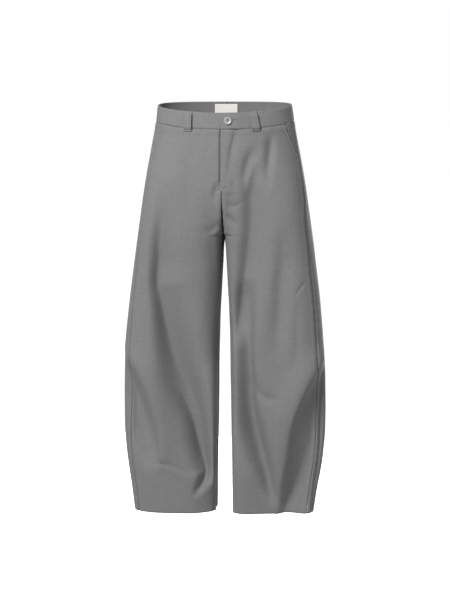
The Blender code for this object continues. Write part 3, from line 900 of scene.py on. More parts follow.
SUITING = SuitingFinish("grey_suiting", (0.128, 0.128, 0.129, 1.0), (0.226, 0.226, 0.228, 1.0)).make()
SUITING_TRIM = SuitingFinish(
    "grey_suiting_doubled", (0.130, 0.130, 0.131, 1.0), (0.228, 0.228, 0.230, 1.0)).make()
THREAD = PlainFinish(
    "grey_thread", (0.090, 0.090, 0.092, 1.0), (0.150, 0.150, 0.152, 1.0), 3000.0, 0.6).make()
RESIN = PlainFinish(
    "grey_resin", (0.270, 0.270, 0.280, 1.0), (0.350, 0.350, 0.362, 1.0), 260.0, 0.36,
    coat=0.2, bump=0.05).make()
TAPE = PlainFinish(
    "woven_tape", (0.720, 0.705, 0.650, 1.0), (0.820, 0.805, 0.750, 1.0), 1500.0, 0.75,
    specular=0.2, bump=0.3).make()


@dataclass
class ClothPatch:
    """A fine grid of cloth on the form, with rows of levels and columns of turns."""

    name: str
    side: int
    turn: np.ndarray
    level: np.ndarray
    wall: float
    lift: np.ndarray | float = 0.0
    creased: bool = True
    smooth: np.ndarray = field(init=False)
    base: np.ndarray = field(init=False)
    normal: np.ndarray = field(init=False)
    height: np.ndarray = field(init=False)

    def __post_init__(self) -> None:
        """Work out the smooth points, their normals and the relief so far."""
        self.smooth = FORM.points(self.side, self.turn, self.level)
        self.base = self.smooth
        self.normal = FORM.normals(self.side, self.turn, self.level)
        self.height = np.zeros(self.turn.shape) + self.lift
        if self.creased:
            self.base = FIELD.creased(self.side, self.turn, self.level)

    def widths(self) -> np.ndarray:
        """Metres of cloth from each row's first column.

        Returns:
            A distance for every point.
        """
        steps = np.linalg.norm(np.diff(self.smooth, axis=1), axis=-1)
        return np.concatenate([np.zeros((len(steps), 1)), np.cumsum(steps, axis=1)], axis=1)

    def lengths(self) -> np.ndarray:
        """Metres of cloth down each column from the top row.

        Returns:
            A distance for every point.
        """
        steps = np.linalg.norm(np.diff(self.smooth, axis=0), axis=-1)
        return np.concatenate([np.zeros((1, steps.shape[1])), np.cumsum(steps, axis=0)], axis=0)

    def flat(self) -> tuple[float, float, float]:
        """Measure the patch laid flat.

        Returns:
            Its width, its length and its area.
        """
        rows = np.diff(self.smooth, axis=0)[:, :-1]
        columns = np.diff(self.smooth, axis=1)[:-1]
        area = float(np.linalg.norm(np.cross(rows, columns), axis=-1).sum())
        return float(self.widths()[:, -1].max()), float(self.lengths()[-1].max()), area

    def meet_at_centre(self, column: int) -> None:
        """Bring a column's points on the centre seam to its plane, so that no light passes."""
        beside = np.abs(self.base[:, column, 0]) < GAP
        self.base[beside, column, 0] = 0.0

    def surface(self) -> np.ndarray:
        """The finished outer points."""
        return self.base + self.normal * self.height[..., None]

    def build(self, material: bpy.types.Material, round_edges: float = 0.0) -> bpy.types.Object:
        """Make the object: a grid laid on the surface, with its wall inward.

        Args:
            material: the cloth's material.
            round_edges: the radius of its edges in metres; 0 leaves them square.

        Returns:
            The object, at the origin.
        """
        rows, columns = self.turn.shape
        points = self.surface()
        widths = self.widths()
        middle = columns // 2
        across = widths - widths[:, middle:middle + 1]
        down = self.lengths()[:, middle]
        mesh = bmesh.new()
        bmesh.ops.create_grid(mesh, x_segments=columns - 1, y_segments=rows - 1, size=0.5)
        flat_map = mesh.loops.layers.uv.new(UV_NAME)
        for vertex in mesh.verts:
            row = round((0.5 - vertex.co.y) * (rows - 1))
            column = round((vertex.co.x + 0.5) * (columns - 1))
            vertex.co = points[row, column]
            for loop in vertex.link_loops:
                loop[flat_map].uv = (across[row, column], -down[row])
        bmesh.ops.triangulate(mesh, faces=mesh.faces[:], quad_method="SHORT_EDGE")
        mesh.normal_update()
        mesh.faces.ensure_lookup_table()
        sample = mesh.faces[len(mesh.faces) // 2]
        centre = sample.calc_center_median()
        offsets = np.linalg.norm(points - np.array(centre), axis=-1)
        nearest = np.unravel_index(np.argmin(offsets), offsets.shape)
        if sample.normal.dot(Vector(self.normal[nearest])) < 0.0:
            bmesh.ops.reverse_faces(mesh, faces=mesh.faces[:])
        piece = new_object(self.name, mesh, material)
        wall = piece.modifiers.new("wall", "SOLIDIFY")
        wall.thickness = self.wall
        wall.offset = -1.0
        if round_edges > 0.0:
            turned = piece.modifiers.new("turned_edges", "BEVEL")
            turned.width = round_edges
            turned.segments = 2
            turned.limit_method = "ANGLE"
            turned.angle_limit = EDGE_ANGLE
        return piece


def new_object(name: str, mesh: bmesh.types.BMesh, material: bpy.types.Material,
               sharp: float = 50.0) -> bpy.types.Object:
    """Turn a bmesh into a smooth-shaded object in the scene.

    Args:
        name: the object's name.
        mesh: the bmesh, which is freed.
        material: its material.
        sharp: edges steeper than this many degrees stay sharp.

    Returns:
        The object.
    """
    data = bpy.data.meshes.new(name)
    mesh.to_mesh(data)
    mesh.free()
    data.shade_smooth()
    data.set_sharp_from_angle(angle=math.radians(sharp))
    data.materials.append(material)
    piece = bpy.data.objects.new(name, data)
    bpy.context.scene.collection.objects.link(piece)
    return piece


def dress_sheet(piece: bpy.types.Object, node: str) -> None:
    """Attach a sheet to the root body and hide the solid that it stands for.

    Args:
        piece: the sheet.
        node: the solid that it stands for.
    """
    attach(piece, ROOT)
    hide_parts(node)


def spread(first: np.ndarray, last: np.ndarray, level: np.ndarray,
           columns: int) -> tuple[np.ndarray, np.ndarray]:
    """Spread a patch's columns evenly between its two edges.

    Args:
        first: the turn of one edge at each level.
        last: the turn of the other edge.
        level: the levels.
        columns: how many columns there are.

    Returns:
        Turns and levels, in rows and columns.
    """
    share = np.linspace(0.0, 1.0, columns)[None, :]
    turn = first[:, None] + (last - first)[:, None] * share
    return turn, np.repeat(level[:, None], columns, axis=1)


@dataclass(frozen=True)
class PressedSeam:
    """How a pressed seam shapes the cloth beside it, in metres."""

    groove: float = 0.0022
    groove_width: float = 0.0028
    allowance: float = 0.0008
    allowance_width: float = 0.016
    allowance_edge: float = 0.004
    pucker: float = 0.00030
    pucker_place: float = 0.007
    pucker_width: float = 0.006
    pucker_length: float = 0.019
    drift_length: float = 0.083
    drift: float = 1.7

    def relief(self, distance: np.ndarray, along: np.ndarray, drawn: float = 1.0) -> np.ndarray:
        """A narrow groove, the swell of the allowance behind it, and uneven puckers.

        Args:
            distance: metres from the seam.
            along: metres along it.
            drawn: how strongly the thread draws the cloth up.

        Returns:
            Metres along the normal.
        """
        groove = -self.groove * np.exp(-(distance / self.groove_width) ** 2)
        allowance = self.allowance * smooth_step((self.allowance_width - distance) / self.allowance_edge)
        drift = self.drift * np.sin(along * 2 * math.pi / self.drift_length)
        wave = np.sin(along * 2 * math.pi / self.pucker_length + drift)
        beside = np.exp(-((distance - self.pucker_place) / self.pucker_width) ** 2)
        return groove + allowance + self.pucker * drawn * wave * beside


SEAM = PressedSeam()


def lap_lift(side: int, x: np.ndarray, underlap: float, blend: float, lift: float) -> np.ndarray:
    """How far the upper layer at the opening stands off the lower one.

    Args:
        side: LEFT laps over RIGHT.
        x: distance from the centre plane towards the wearer's left.
        underlap: how far the lower layer reaches.
        blend: the width over which the upper layer comes back down.
        lift: the full height.

    Returns:
        Metres along the normal.
    """
    if side == RIGHT:
        return np.zeros(np.shape(x))
    return lift * smooth_step((underlap + blend - x) / blend)


@dataclass
class Trousers:
    """The two fronts, the two backs and the pocket facings."""

    columns: int = 104
    rows: int = 270
    lap_edge: float = -0.001
    underlap_edge: float = 0.012
    lap_blend: float = 0.022
    lap_end: float = 0.008
    mouth_top_x: float = 0.146
    mouth_bottom: float = -0.112
    mouth_curve: float = 0.85
    facing_lap: float = 0.060
    facing_bottom: float = -0.122
    facing_drop: float = 0.0012
    facing_rows: int = 60
    facing_columns: int = 40
    facing_blend: float = 0.010
    mouth_dent: float = 0.0006
    mouth_dent_width: float = 0.006
    mouth_fold: float = 0.0012
    mouth_fold_width: float = 0.007
    seam_blend: float = 0.010
    waist_drawn: float = 0.6
    crotch_angle: float = 84.0
    trough_run: float = 0.075
    trough_end: float = 0.020
    trough_width: float = 0.010
    front_trough: float = 0.0030
    back_trough: float = 0.0040
    lap_dent: float = 0.0045
    lap_dent_place: float = 0.0020
    lap_dent_width: float = 0.0032

    def levels(self) -> np.ndarray:
        """Rows from the waist seam to the hem, closer together round the crotch.

        Returns:
            The levels, from the top down.
        """
        top = BAND_SEAM - GAP / 2
        upper = np.linspace(top, CROTCH + FORM.crotch_rise, self.rows // 6)
        angle = np.radians(np.linspace(self.crotch_angle, 0.0, self.rows // 6))
        arc = CROTCH + FORM.crotch_rise * (1.0 - np.cos(angle))
        below = CROTCH - FORM.inseam_start
        lower = np.linspace(below, HEM, self.rows - 2 * (self.rows // 6))
        return np.concatenate([upper, arc, lower])

    def front_edge(self, side: int, level: np.ndarray) -> np.ndarray:
        """Where a front begins: the fly's edge, the centre seam or the inseam.

        Args:
            side: LEFT or RIGHT.
            level: the levels.

        Returns:
            The turns.
        """
        edge = self.lap_edge if side == LEFT else -self.underlap_edge
        lapped = smooth_step((level - FLY_END + self.lap_end) / self.lap_end)
        centre = FORM.turn_at_x(side, GAP / 2 + (edge - GAP / 2) * lapped, level)
        inseam = FORM.past(side, np.zeros(level.shape), level, GAP / 2)
        return np.where(level <= CROTCH, inseam, centre)

    def mouth_turn(self, side: int, level: np.ndarray) -> np.ndarray:
        """Where a front ends: the slanted pocket mouth or the side seam.

        Args:
            side: LEFT or RIGHT.
            level: the levels.

        Returns:
            The turns.
        """
        seam = FORM.past(side, FORM.seam_turn(level), level, -GAP / 2)
        share = (level - self.mouth_bottom) / (BAND_SEAM - self.mouth_bottom)
        share = np.clip(share, 0.0, 1.0) ** self.mouth_curve
        top = FORM.turn_at_x(side, np.array(self.mouth_top_x), np.array(BAND_SEAM))
        return seam + (top - seam) * share

    def lap(self, side: int, x: np.ndarray) -> np.ndarray:
        """How far the fly stands off the underlap at a distance from the centre plane."""
        return lap_lift(side, x, self.underlap_edge, self.lap_blend, WALL + GAP)

    def centre_trough(self, patch: ClothPatch, top: float, depth: float) -> np.ndarray:
        """The trough that the centre seam draws in above the crotch.

        Args:
            patch: the panel.
            top: the level at which the trough begins.
            depth: how deep it gets.

        Returns:
            Metres along the normal.
        """
        x = np.abs(patch.smooth[..., 0])
        strength = smooth_step((top - patch.level) / self.trough_run)
        strength = strength * smooth_step((patch.level - CROTCH) / self.trough_end)
        return -depth * strength * np.exp(-(x / self.trough_width) ** 2)

    def front(self, side: int) -> bpy.types.Object:
        """Build one front.

        Args:
            side: LEFT or RIGHT.

        Returns:
            The object.
        """
        node = f"front_{SIDE_WORDS[side]}"
        levels = self.levels()
        turn, level = spread(self.front_edge(side, levels), self.mouth_turn(side, levels), levels,
                             self.columns)
        x = FORM.points(side, turn, level)[..., 0]
        lapped = smooth_step((level - FLY_END + 2 * self.lap_end) / self.lap_end)
        patch = ClothPatch(f"{node}_cloth", side, turn, level, WALL, lapped * self.lap(side, x))
        from_inner = patch.widths()
        from_outer = from_inner[:, -1:] - from_inner
        from_top = patch.lengths()
        below_fly = smooth_step((FLY_END - level) / self.seam_blend)
        below_mouth = smooth_step((self.mouth_bottom - level) / self.seam_blend)
        patch.height += SEAM.relief(from_inner, from_top) * below_fly
        patch.height += self.centre_trough(patch, FLY_END, self.front_trough)
        patch.meet_at_centre(0)
        from_lap = x * side + self.lap_edge - self.lap_dent_place
        beside_lap = -self.lap_dent * np.exp(-(from_lap / self.lap_dent_width) ** 2)
        patch.height += beside_lap * (1.0 - below_fly) * (side == RIGHT)
        patch.height += SEAM.relief(from_outer, from_top) * below_mouth
        patch.height += SEAM.relief(from_top, from_inner, self.waist_drawn)
        fold = smooth_step((self.mouth_fold_width - from_outer) / self.mouth_fold_width)
        patch.height += self.mouth_fold * fold * (1.0 - below_mouth)
        piece = patch.build(SUITING)
        dress_sheet(piece, node)
        return piece

    def back(self, side: int) -> bpy.types.Object:
        """Build one back.

        Args:
            side: LEFT or RIGHT.

        Returns:
            The object.
        """
        node = f"back_{SIDE_WORDS[side]}"
        levels = self.levels()
        first = FORM.past(side, FORM.seam_turn(levels), levels, GAP / 2)
        inseam = FORM.past(side, np.full(levels.shape, 2.0), levels, -GAP / 2)
        last = np.where(levels <= CROTCH, inseam, 2.0)
        turn, level = spread(first, last, levels, self.columns)
        patch = ClothPatch(f"{node}_cloth", side, turn, level, WALL)
        from_outer = patch.widths()
        from_inner = from_outer[:, -1:] - from_outer
        from_top = patch.lengths()
        patch.height += SEAM.relief(from_inner, from_top)
        patch.height += SEAM.relief(from_outer, from_top)
        patch.height += SEAM.relief(from_top, from_outer, self.waist_drawn)
        patch.height += self.centre_trough(patch, BAND_SEAM, self.back_trough)
        patch.meet_at_centre(-1)
        piece = patch.build(SUITING)
        dress_sheet(piece, node)
        return piece

    def facing(self, side: int) -> bpy.types.Object:
        """Build the facing behind one pocket mouth, flush at the side seam.

        Args:
            side: LEFT or RIGHT.

        Returns:
            The object.
        """
        node = f"pocket_facing_{SIDE_WORDS[side]}"
        levels = np.linspace(BAND_SEAM - GAP / 2, self.facing_bottom, self.facing_rows)
        mouth = self.mouth_turn(side, levels)
        last = FORM.past(side, FORM.seam_turn(levels), levels, -GAP / 2)
        turn, level = spread(mouth - self.facing_lap, last, levels, self.facing_columns)
        patch = ClothPatch(f"{node}_cloth", side, turn, level, WALL)
        widths = patch.widths()
        to_mouth = [np.interp(edge, row, width) for edge, row, width in zip(mouth, turn, widths)]
        beyond = widths - np.array(to_mouth)[:, None]
        under = -(WALL + self.facing_drop)
        patch.height += under * smooth_step((self.facing_blend - beyond) / self.facing_blend)
        dent = smooth_step((self.mouth_dent_width - np.abs(beyond)) / self.mouth_dent_width)
        patch.height -= self.mouth_dent * dent
        piece = patch.build(SUITING)
        dress_sheet(piece, node)
        return piece

    def build(self) -> None:
        """Build every panel."""
        for side in (RIGHT, LEFT):
            self.front(side)
            self.back(side)
            self.facing(side)


@dataclass
class Waistband:
    """The waistband, in two halves that lap at the front."""

    columns: int = 210
    rows: int = 14
    lap_edge: float = -0.001
    underlap_edge: float = 0.032
    lap_blend: float = 0.026
    puff: float = 0.0007
    puff_power: int = 4
    unevenness: float = 0.5
    edge_radius: float = 0.0009

    def lift(self, side: int, turn: np.ndarray, level: np.ndarray) -> np.ndarray:
        """How far the band stands out where it laps over its other half.

        Args:
            side: LEFT or RIGHT.
            turn: places round the ring.
            level: the levels.

        Returns:
            Metres along the normal.
        """
        x = FORM.points(side, turn, level)[..., 0]
        raised = lap_lift(side, x, self.underlap_edge, self.lap_blend, BAND_WALL + GAP)
        return np.where(turn < 1.0, raised, 0.0)

    def half(self, side: int) -> bpy.types.Object:
        """Build half of the band.

        Args:
            side: LEFT or RIGHT.

        Returns:
            The object.
        """
        node = f"waistband_{SIDE_WORDS[side]}"
        bottom = BAND_SEAM + GAP / 2
        levels = np.linspace(BAND_TOP, bottom, self.rows)
        edge = self.lap_edge if side == LEFT else -self.underlap_edge
        first = FORM.turn_at_x(side, np.full(levels.shape, edge), levels)
        turn, level = spread(first, np.full(levels.shape, 2.0), levels, self.columns)
        lift = self.lift(side, turn, level)
        patch = ClothPatch(f"{node}_cloth", side, turn, level, BAND_WALL, lift, creased=False)
        part = (BAND_TOP - level) / (BAND_TOP - bottom)
        patch.height += self.puff * (1.0 - (2.0 * part - 1.0) ** self.puff_power)
        patch.height += FIELD.unevenness(patch.smooth) * self.unevenness
        piece = patch.build(SUITING_TRIM, self.edge_radius)
        dress_sheet(piece, node)
        return piece

    def build(self) -> None:
        """Build both halves."""
        for side in (RIGHT, LEFT):
            self.half(side)


@dataclass(frozen=True)
class LoopPlace:
    """Where one belt loop is sewn, by its distance from the centre plane."""

    node: str
    side: int
    face: Face
    top_x: float
    bottom_x: float


@dataclass
class BeltLoops:
    """The belt loops, each a folded strip with two rows of stitches."""

    band: Waistband
    places: tuple[LoopPlace, ...] = (
        LoopPlace("belt_loop_front_right", RIGHT, Face.FRONT, 0.0810, 0.0820),
        LoopPlace("belt_loop_front_left", LEFT, Face.FRONT, 0.0720, 0.0810),
        LoopPlace("belt_loop_back_right", RIGHT, Face.BACK, 0.1080, 0.1090),
        LoopPlace("belt_loop_back_left", LEFT, Face.BACK, 0.1080, 0.1090),
        LoopPlace("belt_loop_centre_back", LEFT, Face.BACK, 0.0, 0.0),
    )
    width: float = 0.0185
    wall: float = 0.0018
    top: float = 0.0175
    bottom: float = -0.0290
    stand_off: float = 0.0040
    sewn_share: float = 0.22
    stitch_inset: float = 0.0040
    stitch_dent: float = 0.0004
    stitch_dent_width: float = 0.0011
    edge_radius: float = 0.0006
    rows: int = 44
    columns: int = 13

    def surface(self, place: LoopPlace, across: np.ndarray, part: np.ndarray,
                extra: float) -> tuple[np.ndarray, np.ndarray, np.ndarray]:
        """Turns, levels and lifts of points on a loop.

        Args:
            place: the loop.
            across: -0.5 to 0.5 across its width.
            part: 0 at its top to 1 at its bottom.
            extra: height above its outer face.

        Returns:
            turn, level and lift arrays.
        """
        level = self.top + (self.bottom - self.top) * part
        distance = place.top_x + (place.bottom_x - place.top_x) * part + across * self.width
        turn = FORM.turn_at_x(place.side, distance, level)
        if place.face is Face.BACK:
            turn = 2.0 - turn
        arch = self.stand_off * smooth_step(np.minimum(part, 1.0 - part) / self.sewn_share)
        lift = self.band.lift(place.side, turn, level) + GAP + self.band.puff + self.wall + arch
        return turn, level, lift + extra

    def loop(self, place: LoopPlace) -> bpy.types.Object:
        """Build one loop.

        Args:
            place: the loop.

        Returns:
            The object.
        """
        part = np.repeat(np.linspace(0.0, 1.0, self.rows)[:, None], self.columns, axis=1)
        across = np.repeat(np.linspace(-0.5, 0.5, self.columns)[None, :], self.rows, axis=0)
        turn, level, lift = self.surface(place, across, part, 0.0)
        patch = ClothPatch(f"{place.node}_strip", place.side, turn, level, self.wall, lift, False)
        from_stitches = np.abs(across) * self.width - (self.width / 2 - self.stitch_inset)
        patch.height -= self.stitch_dent * np.exp(-(from_stitches / self.stitch_dent_width) ** 2)
        piece = patch.build(SUITING_TRIM, self.edge_radius)
        dress_sheet(piece, place.node)
        return piece

    def build(self) -> None:
        """Build every loop."""
        for place in self.places:
            self.loop(place)


@dataclass
class SewnLabel:
    """The bare label inside the back of the band."""

    centre_x: float = -0.004
    half_width: float = 0.0285
    top: float = 0.0125
    bottom: float = -0.0175
    wall: float = 0.0009
    edge_radius: float = 0.0003
    rows: int = 24
    columns: int = 44

    def build(self) -> None:
        """Build the label."""
        level = np.linspace(self.top, self.bottom, self.rows)
        level = np.repeat(level[:, None], self.columns, axis=1)
        share = np.repeat(np.linspace(-1.0, 1.0, self.columns)[None, :], self.rows, axis=0)
        distance = self.centre_x + self.half_width * share
        turn = 2.0 - FORM.turn_at_x(LEFT, distance, level)
        patch = ClothPatch("label_tape", LEFT, turn, level, self.wall, -BAND_WALL - GAP, False)
        piece = patch.build(TAPE, self.edge_radius)
        dress_sheet(piece, "label")


@dataclass
class WaistButton:
    """A four-hole button with a raised rim, sewn with crossed thread."""

    band: Waistband
    x: float = 0.0140
    level: float = -0.0010
    radius: float = 0.0094
    thickness: float = 0.0034
    rim: float = 0.0022
    dish: float = 0.0009
    dish_edge: float = 0.0012
    rounding: float = 0.0008
    rounding_segments: int = 4
    sides: int = 64
    sharp_edges: float = 60.0
    holes: int = 4
    first_hole: float = 45.0
    hole_radius: float = 0.00095
    hole_offset: float = 0.0019
    hole_sides: int = 20
    thread_radius: float = 0.00032
    thread_reach: float = 1.25
    thread_shift: float = 0.0003
    thread_rise: float = 0.0003
    thread_step: float = 0.0002

    def seat(self) -> Matrix:
        """Find the button's place on the band.

        Returns:
            The place, with Z along the band's outward normal.
        """
        level = np.array(self.level)
        turn = FORM.turn_at_x(LEFT, np.array(self.x), level)
        lift = float(self.band.lift(LEFT, turn, level)) + self.band.puff + GAP
        normal = Vector(FORM.normals(LEFT, turn, level))
        centre = Vector(FORM.points(LEFT, turn, level)) + normal * lift
        upright = normal.to_track_quat("Z", "Y").to_matrix().to_4x4()
        return Matrix.Translation(centre) @ upright

    def build(self) -> None:
        """Build the button and its thread."""
        mesh = bmesh.new()
        bmesh.ops.create_cone(mesh, cap_ends=True, segments=self.sides, radius1=self.radius,
                              radius2=self.radius, depth=self.thickness,
                              matrix=Matrix.Translation((0.0, 0.0, self.thickness / 2)))
        top = max(mesh.faces, key=lambda face: face.calc_center_median().z)
        bmesh.ops.inset_individual(mesh, faces=[top], thickness=self.rim)
        bmesh.ops.inset_individual(mesh, faces=[top], thickness=self.dish_edge,
                                   depth=-self.dish)
        corners = [edge for edge in mesh.edges if edge.calc_face_angle(0.0) > EDGE_ANGLE]
        bmesh.ops.bevel(mesh, geom=corners, offset=self.rounding, offset_type="OFFSET",
                        segments=self.rounding_segments, profile=0.5, affect="EDGES", material=-1)
        seat = self.seat()
        bmesh.ops.transform(mesh, matrix=seat, verts=mesh.verts[:])
        button = new_object("button_disc", mesh, RESIN, self.sharp_edges)
        for number in range(self.holes):
            angle = math.radians(self.first_hole + 90.0 * number)
            place = (self.hole_offset * math.cos(angle), self.hole_offset * math.sin(angle), 0.0)
            self.drill(button, seat @ Matrix.Translation(place))
        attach(button, ROOT)
        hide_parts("button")
        self.thread(seat)
        LOG.info("button: %.1f mm across", 2.0 * self.radius / MILLIMETRE)

    def drill(self, button: bpy.types.Object, place: Matrix) -> None:
        """Cut one hole through the button.

        Args:
            button: the button.
            place: the hole's centre on its underside, with Z along its axis.
        """
        mesh = bmesh.new()
        bmesh.ops.create_cone(mesh, cap_ends=True, segments=self.hole_sides, radius1=self.hole_radius,
                              radius2=self.hole_radius, depth=self.thickness * 4, matrix=place)
        cutter = new_object("button_hole_cutter", mesh, RESIN)
        cut = button.modifiers.new("hole", "BOOLEAN")
        cut.operation = "DIFFERENCE"
        cut.object = cutter
        finished = bpy.data.meshes.new_from_object(
            button.evaluated_get(bpy.context.evaluated_depsgraph_get()))
        button.modifiers.clear()
        button.data = finished
        bpy.data.objects.remove(cutter, do_unlink=True)

    def thread(self, seat: Matrix) -> None:
        """Build the crossed thread through the holes.

        Args:
            seat: the button's place.
        """
        mesh = bmesh.new()
        size = (self.hole_offset * self.thread_reach, self.thread_radius, self.thread_radius, 1.0)
        for number in range(2):
            turned = Matrix.Rotation(math.radians(self.first_hole + 90.0 * number), 4, "Z")
            height = self.thickness - self.dish + self.thread_rise + self.thread_step * number
            for shift in (-self.thread_shift, self.thread_shift):
                place = seat @ turned @ Matrix.Translation((0.0, shift, height)) @ Matrix.Diagonal(size)
                bmesh.ops.create_uvsphere(mesh, u_segments=10, v_segments=8, radius=1.0,
                                          matrix=place @ Matrix.Rotation(math.pi / 2, 4, "Y"))
        thread = new_object("button_thread", mesh, THREAD)
        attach(thread, ROOT)


@dataclass
class Stitching:
    """Rows of stitches that lie in the cloth."""

    panels: Trousers
    band: Waistband
    loops: BeltLoops
    length: float = 0.0026
    gap: float = 0.0007
    radius: float = 0.00026
    top: float = BAND_SEAM - 0.003
    mouth_inset: float = 0.0065
    mouth_end: float = 0.004
    mouth_lift: float = 0.0002
    fly_width: float = 0.034
    fly_corner: float = 0.030
    fly_foot: float = FLY_END + 0.004
    fly_lift: float = 0.0001
    tack: tuple[float, float] = (0.0005, 0.0115)
    tack_rows: tuple[float, ...] = (-0.0006, 0.0, 0.0006)
    tack_lift: float = 0.0002
    loop_sink: float = 0.0002
    loop_tacks: tuple[float, float] = (0.075, 0.925)
    loop_tack_reach: float = 0.42
    slit: tuple[float, float] = (0.0098, 0.0205)
    slit_rise: float = 0.0024
    bar_pitch: float = 0.0006
    bar: tuple[float, float] = (0.0002, 0.0017)
    bar_lift: float = 0.0001

    def row(self, mesh: bmesh.types.BMesh, points: np.ndarray, normals: np.ndarray) -> int:
        """Add a row of stitches along a line.

        Args:
            mesh: the mesh that takes them.
            points: the line.
            normals: the outward normal at each point.

        Returns:
            How many stitches were added.
        """
        steps = np.linalg.norm(np.diff(points, axis=0), axis=-1)
        places = np.concatenate([[0.0], np.cumsum(steps)])
        count = int(places[-1] // (self.length + self.gap))
        for number in range(count):
            start = number * (self.length + self.gap) + self.gap / 2
            ends = [Vector([np.interp(spot, places, points[:, axis]) for axis in range(3)])
                    for spot in (start, start + self.length)]
            middle = start + self.length / 2
            normal = Vector([np.interp(middle, places, normals[:, axis]) for axis in range(3)])
            self.stitch(mesh, ends[0], ends[1], normal)
        return count

    def stitch(self, mesh: bmesh.types.BMesh, start: Vector, end: Vector, normal: Vector) -> None:
        """Add one stitch between two points.

        Args:
            mesh: the mesh that takes it.
            start: one end.
            end: the other end.
            normal: the cloth's outward normal.
        """
        half = (end - start) / 2
        side = normal.cross(half).normalized()
        up = half.cross(side).normalized()
        axes = (side * self.radius, up * self.radius, half, (start + end) / 2)
        place = Matrix([axis.to_4d() for axis in axes]).transposed()
        place[3] = (0.0, 0.0, 0.0, 1.0)
        bmesh.ops.create_uvsphere(mesh, u_segments=6, v_segments=5, radius=1.0, matrix=place)

    def finish(self, name: str, mesh: bmesh.types.BMesh) -> None:
        """Turn rows of stitches into one piece.

        Args:
            name: the piece's name.
            mesh: the rows, which are freed.
        """
        bmesh.ops.recalc_face_normals(mesh, faces=mesh.faces[:])
        piece = new_object(name, mesh, THREAD)
        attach(piece, ROOT)

    def on_panel(self, side: int, turn: np.ndarray, level: np.ndarray,
                 lift: np.ndarray | float) -> tuple[np.ndarray, np.ndarray]:
        """Find places on the creased cloth.

        Args:
            side: LEFT or RIGHT.
            turn: places round the ring.
            level: the levels.
            lift: metres above the cloth.

        Returns:
            Points and outward normals.
        """
        normal = FORM.normals(side, turn, level)
        lift = np.zeros(turn.shape) + lift
        return FIELD.creased(side, turn, level) + normal * lift[..., None], normal

    def on_form(self, side: int, turn: np.ndarray, level: np.ndarray,
                lift: np.ndarray) -> tuple[np.ndarray, np.ndarray]:
        """Find places above the smooth form.

        Args:
            side: LEFT or RIGHT.
            turn: places round the ring.
            level: the levels.
            lift: metres above the form.

        Returns:
            Points and outward normals.
        """
        normal = FORM.normals(side, turn, level)
        return FORM.points(side, turn, level) + normal * lift[:, None], normal

    def pocket_mouths(self) -> None:
        """Sew one row beside each slanted pocket mouth."""
        mesh = bmesh.new()
        level = np.linspace(self.top, self.panels.mouth_bottom + self.mouth_end, 60)
        for side in (RIGHT, LEFT):
            edge = self.panels.mouth_turn(side, level)
            turn = FORM.past(side, edge, level, -self.mouth_inset)
            self.row(mesh, *self.on_panel(side, turn, level, self.mouth_lift))
        self.finish("pocket_stitches", mesh)

    def on_fly(self, mesh: bmesh.types.BMesh, x: np.ndarray, level: np.ndarray, lift: float) -> None:
        """Sew one row on the fly.

        Args:
            mesh: the mesh that takes it.
            x: metres from the centre plane along the row.
            level: the levels.
            lift: metres above the cloth.
        """
        turn = FORM.turn_at_x(LEFT, x, level)
        self.row(mesh, *self.on_panel(LEFT, turn, level, self.panels.lap(LEFT, x) + lift))

    def fly(self) -> None:
        """Sew the curved row that holds the fly, and the tack at its foot."""
        mesh = bmesh.new()
        straight = np.linspace(self.top, self.fly_foot + self.fly_corner, 50)
        bend = np.radians(np.linspace(0.0, 90.0, 24))
        level = np.concatenate([straight, self.fly_foot + self.fly_corner * (1.0 - np.sin(bend))])
        curve = self.fly_width - self.fly_corner * (1.0 - np.cos(bend))
        self.on_fly(mesh, np.concatenate([np.full(50, self.fly_width), curve]), level, self.fly_lift)
        for shift in self.tack_rows:
            level = np.full(20, self.fly_foot + shift)
            self.on_fly(mesh, np.linspace(*self.tack, 20), level, self.tack_lift)
        self.finish("fly_stitches", mesh)

    def belt_loops(self) -> None:
        """Sew two rows down each belt loop and a tack across each of its ends."""
        mesh = bmesh.new()
        part = np.linspace(0.02, 0.98, 60)
        inset = 0.5 - self.loops.stitch_inset / self.loops.width
        across = np.linspace(-self.loop_tack_reach, self.loop_tack_reach, 30)
        for place in self.loops.places:
            rows = [(np.full(60, beside), part, -self.loop_sink) for beside in (-inset, inset)]
            rows += [(across, np.full(30, end), 0.0) for end in self.loop_tacks]
            for row in rows:
                self.row(mesh, *self.on_form(place.side, *self.loops.surface(place, *row)))
        self.finish("belt_loop_stitches", mesh)

    def buttonhole(self, button: WaistButton) -> None:
        """Sew close bars of thread round the slit that the button goes through.

        Args:
            button: the button.
        """
        mesh = bmesh.new()
        start, end = self.slit
        for row in (-1, 1):
            for x in np.arange(button.x + start, button.x + end, self.bar_pitch):
                level = button.level + self.slit_rise + row * np.array(self.bar)
                turn = FORM.turn_at_x(LEFT, np.full(2, x), level)
                lift = self.band.lift(LEFT, turn, level) + self.band.puff + self.bar_lift
                points, normals = self.on_form(LEFT, turn, level, lift)
                self.stitch(mesh, Vector(points[0]), Vector(points[1]), Vector(normals[0]))
        self.finish("buttonhole_stitches", mesh)

    def build(self, button: WaistButton) -> None:
        """Sew every row.

        Args:
            button: the button, beside which the buttonhole lies.
        """
        self.pocket_mouths()
        self.fly()
        self.belt_loops()
        self.buttonhole(button)
        LOG.info("stitches sewn")


@dataclass(frozen=True)
class SoftLight:
    """A square soft light: its centre, its width in metres and its power in watts."""

    name: str
    place: tuple[float, float, float]
    size: float
    watts: float


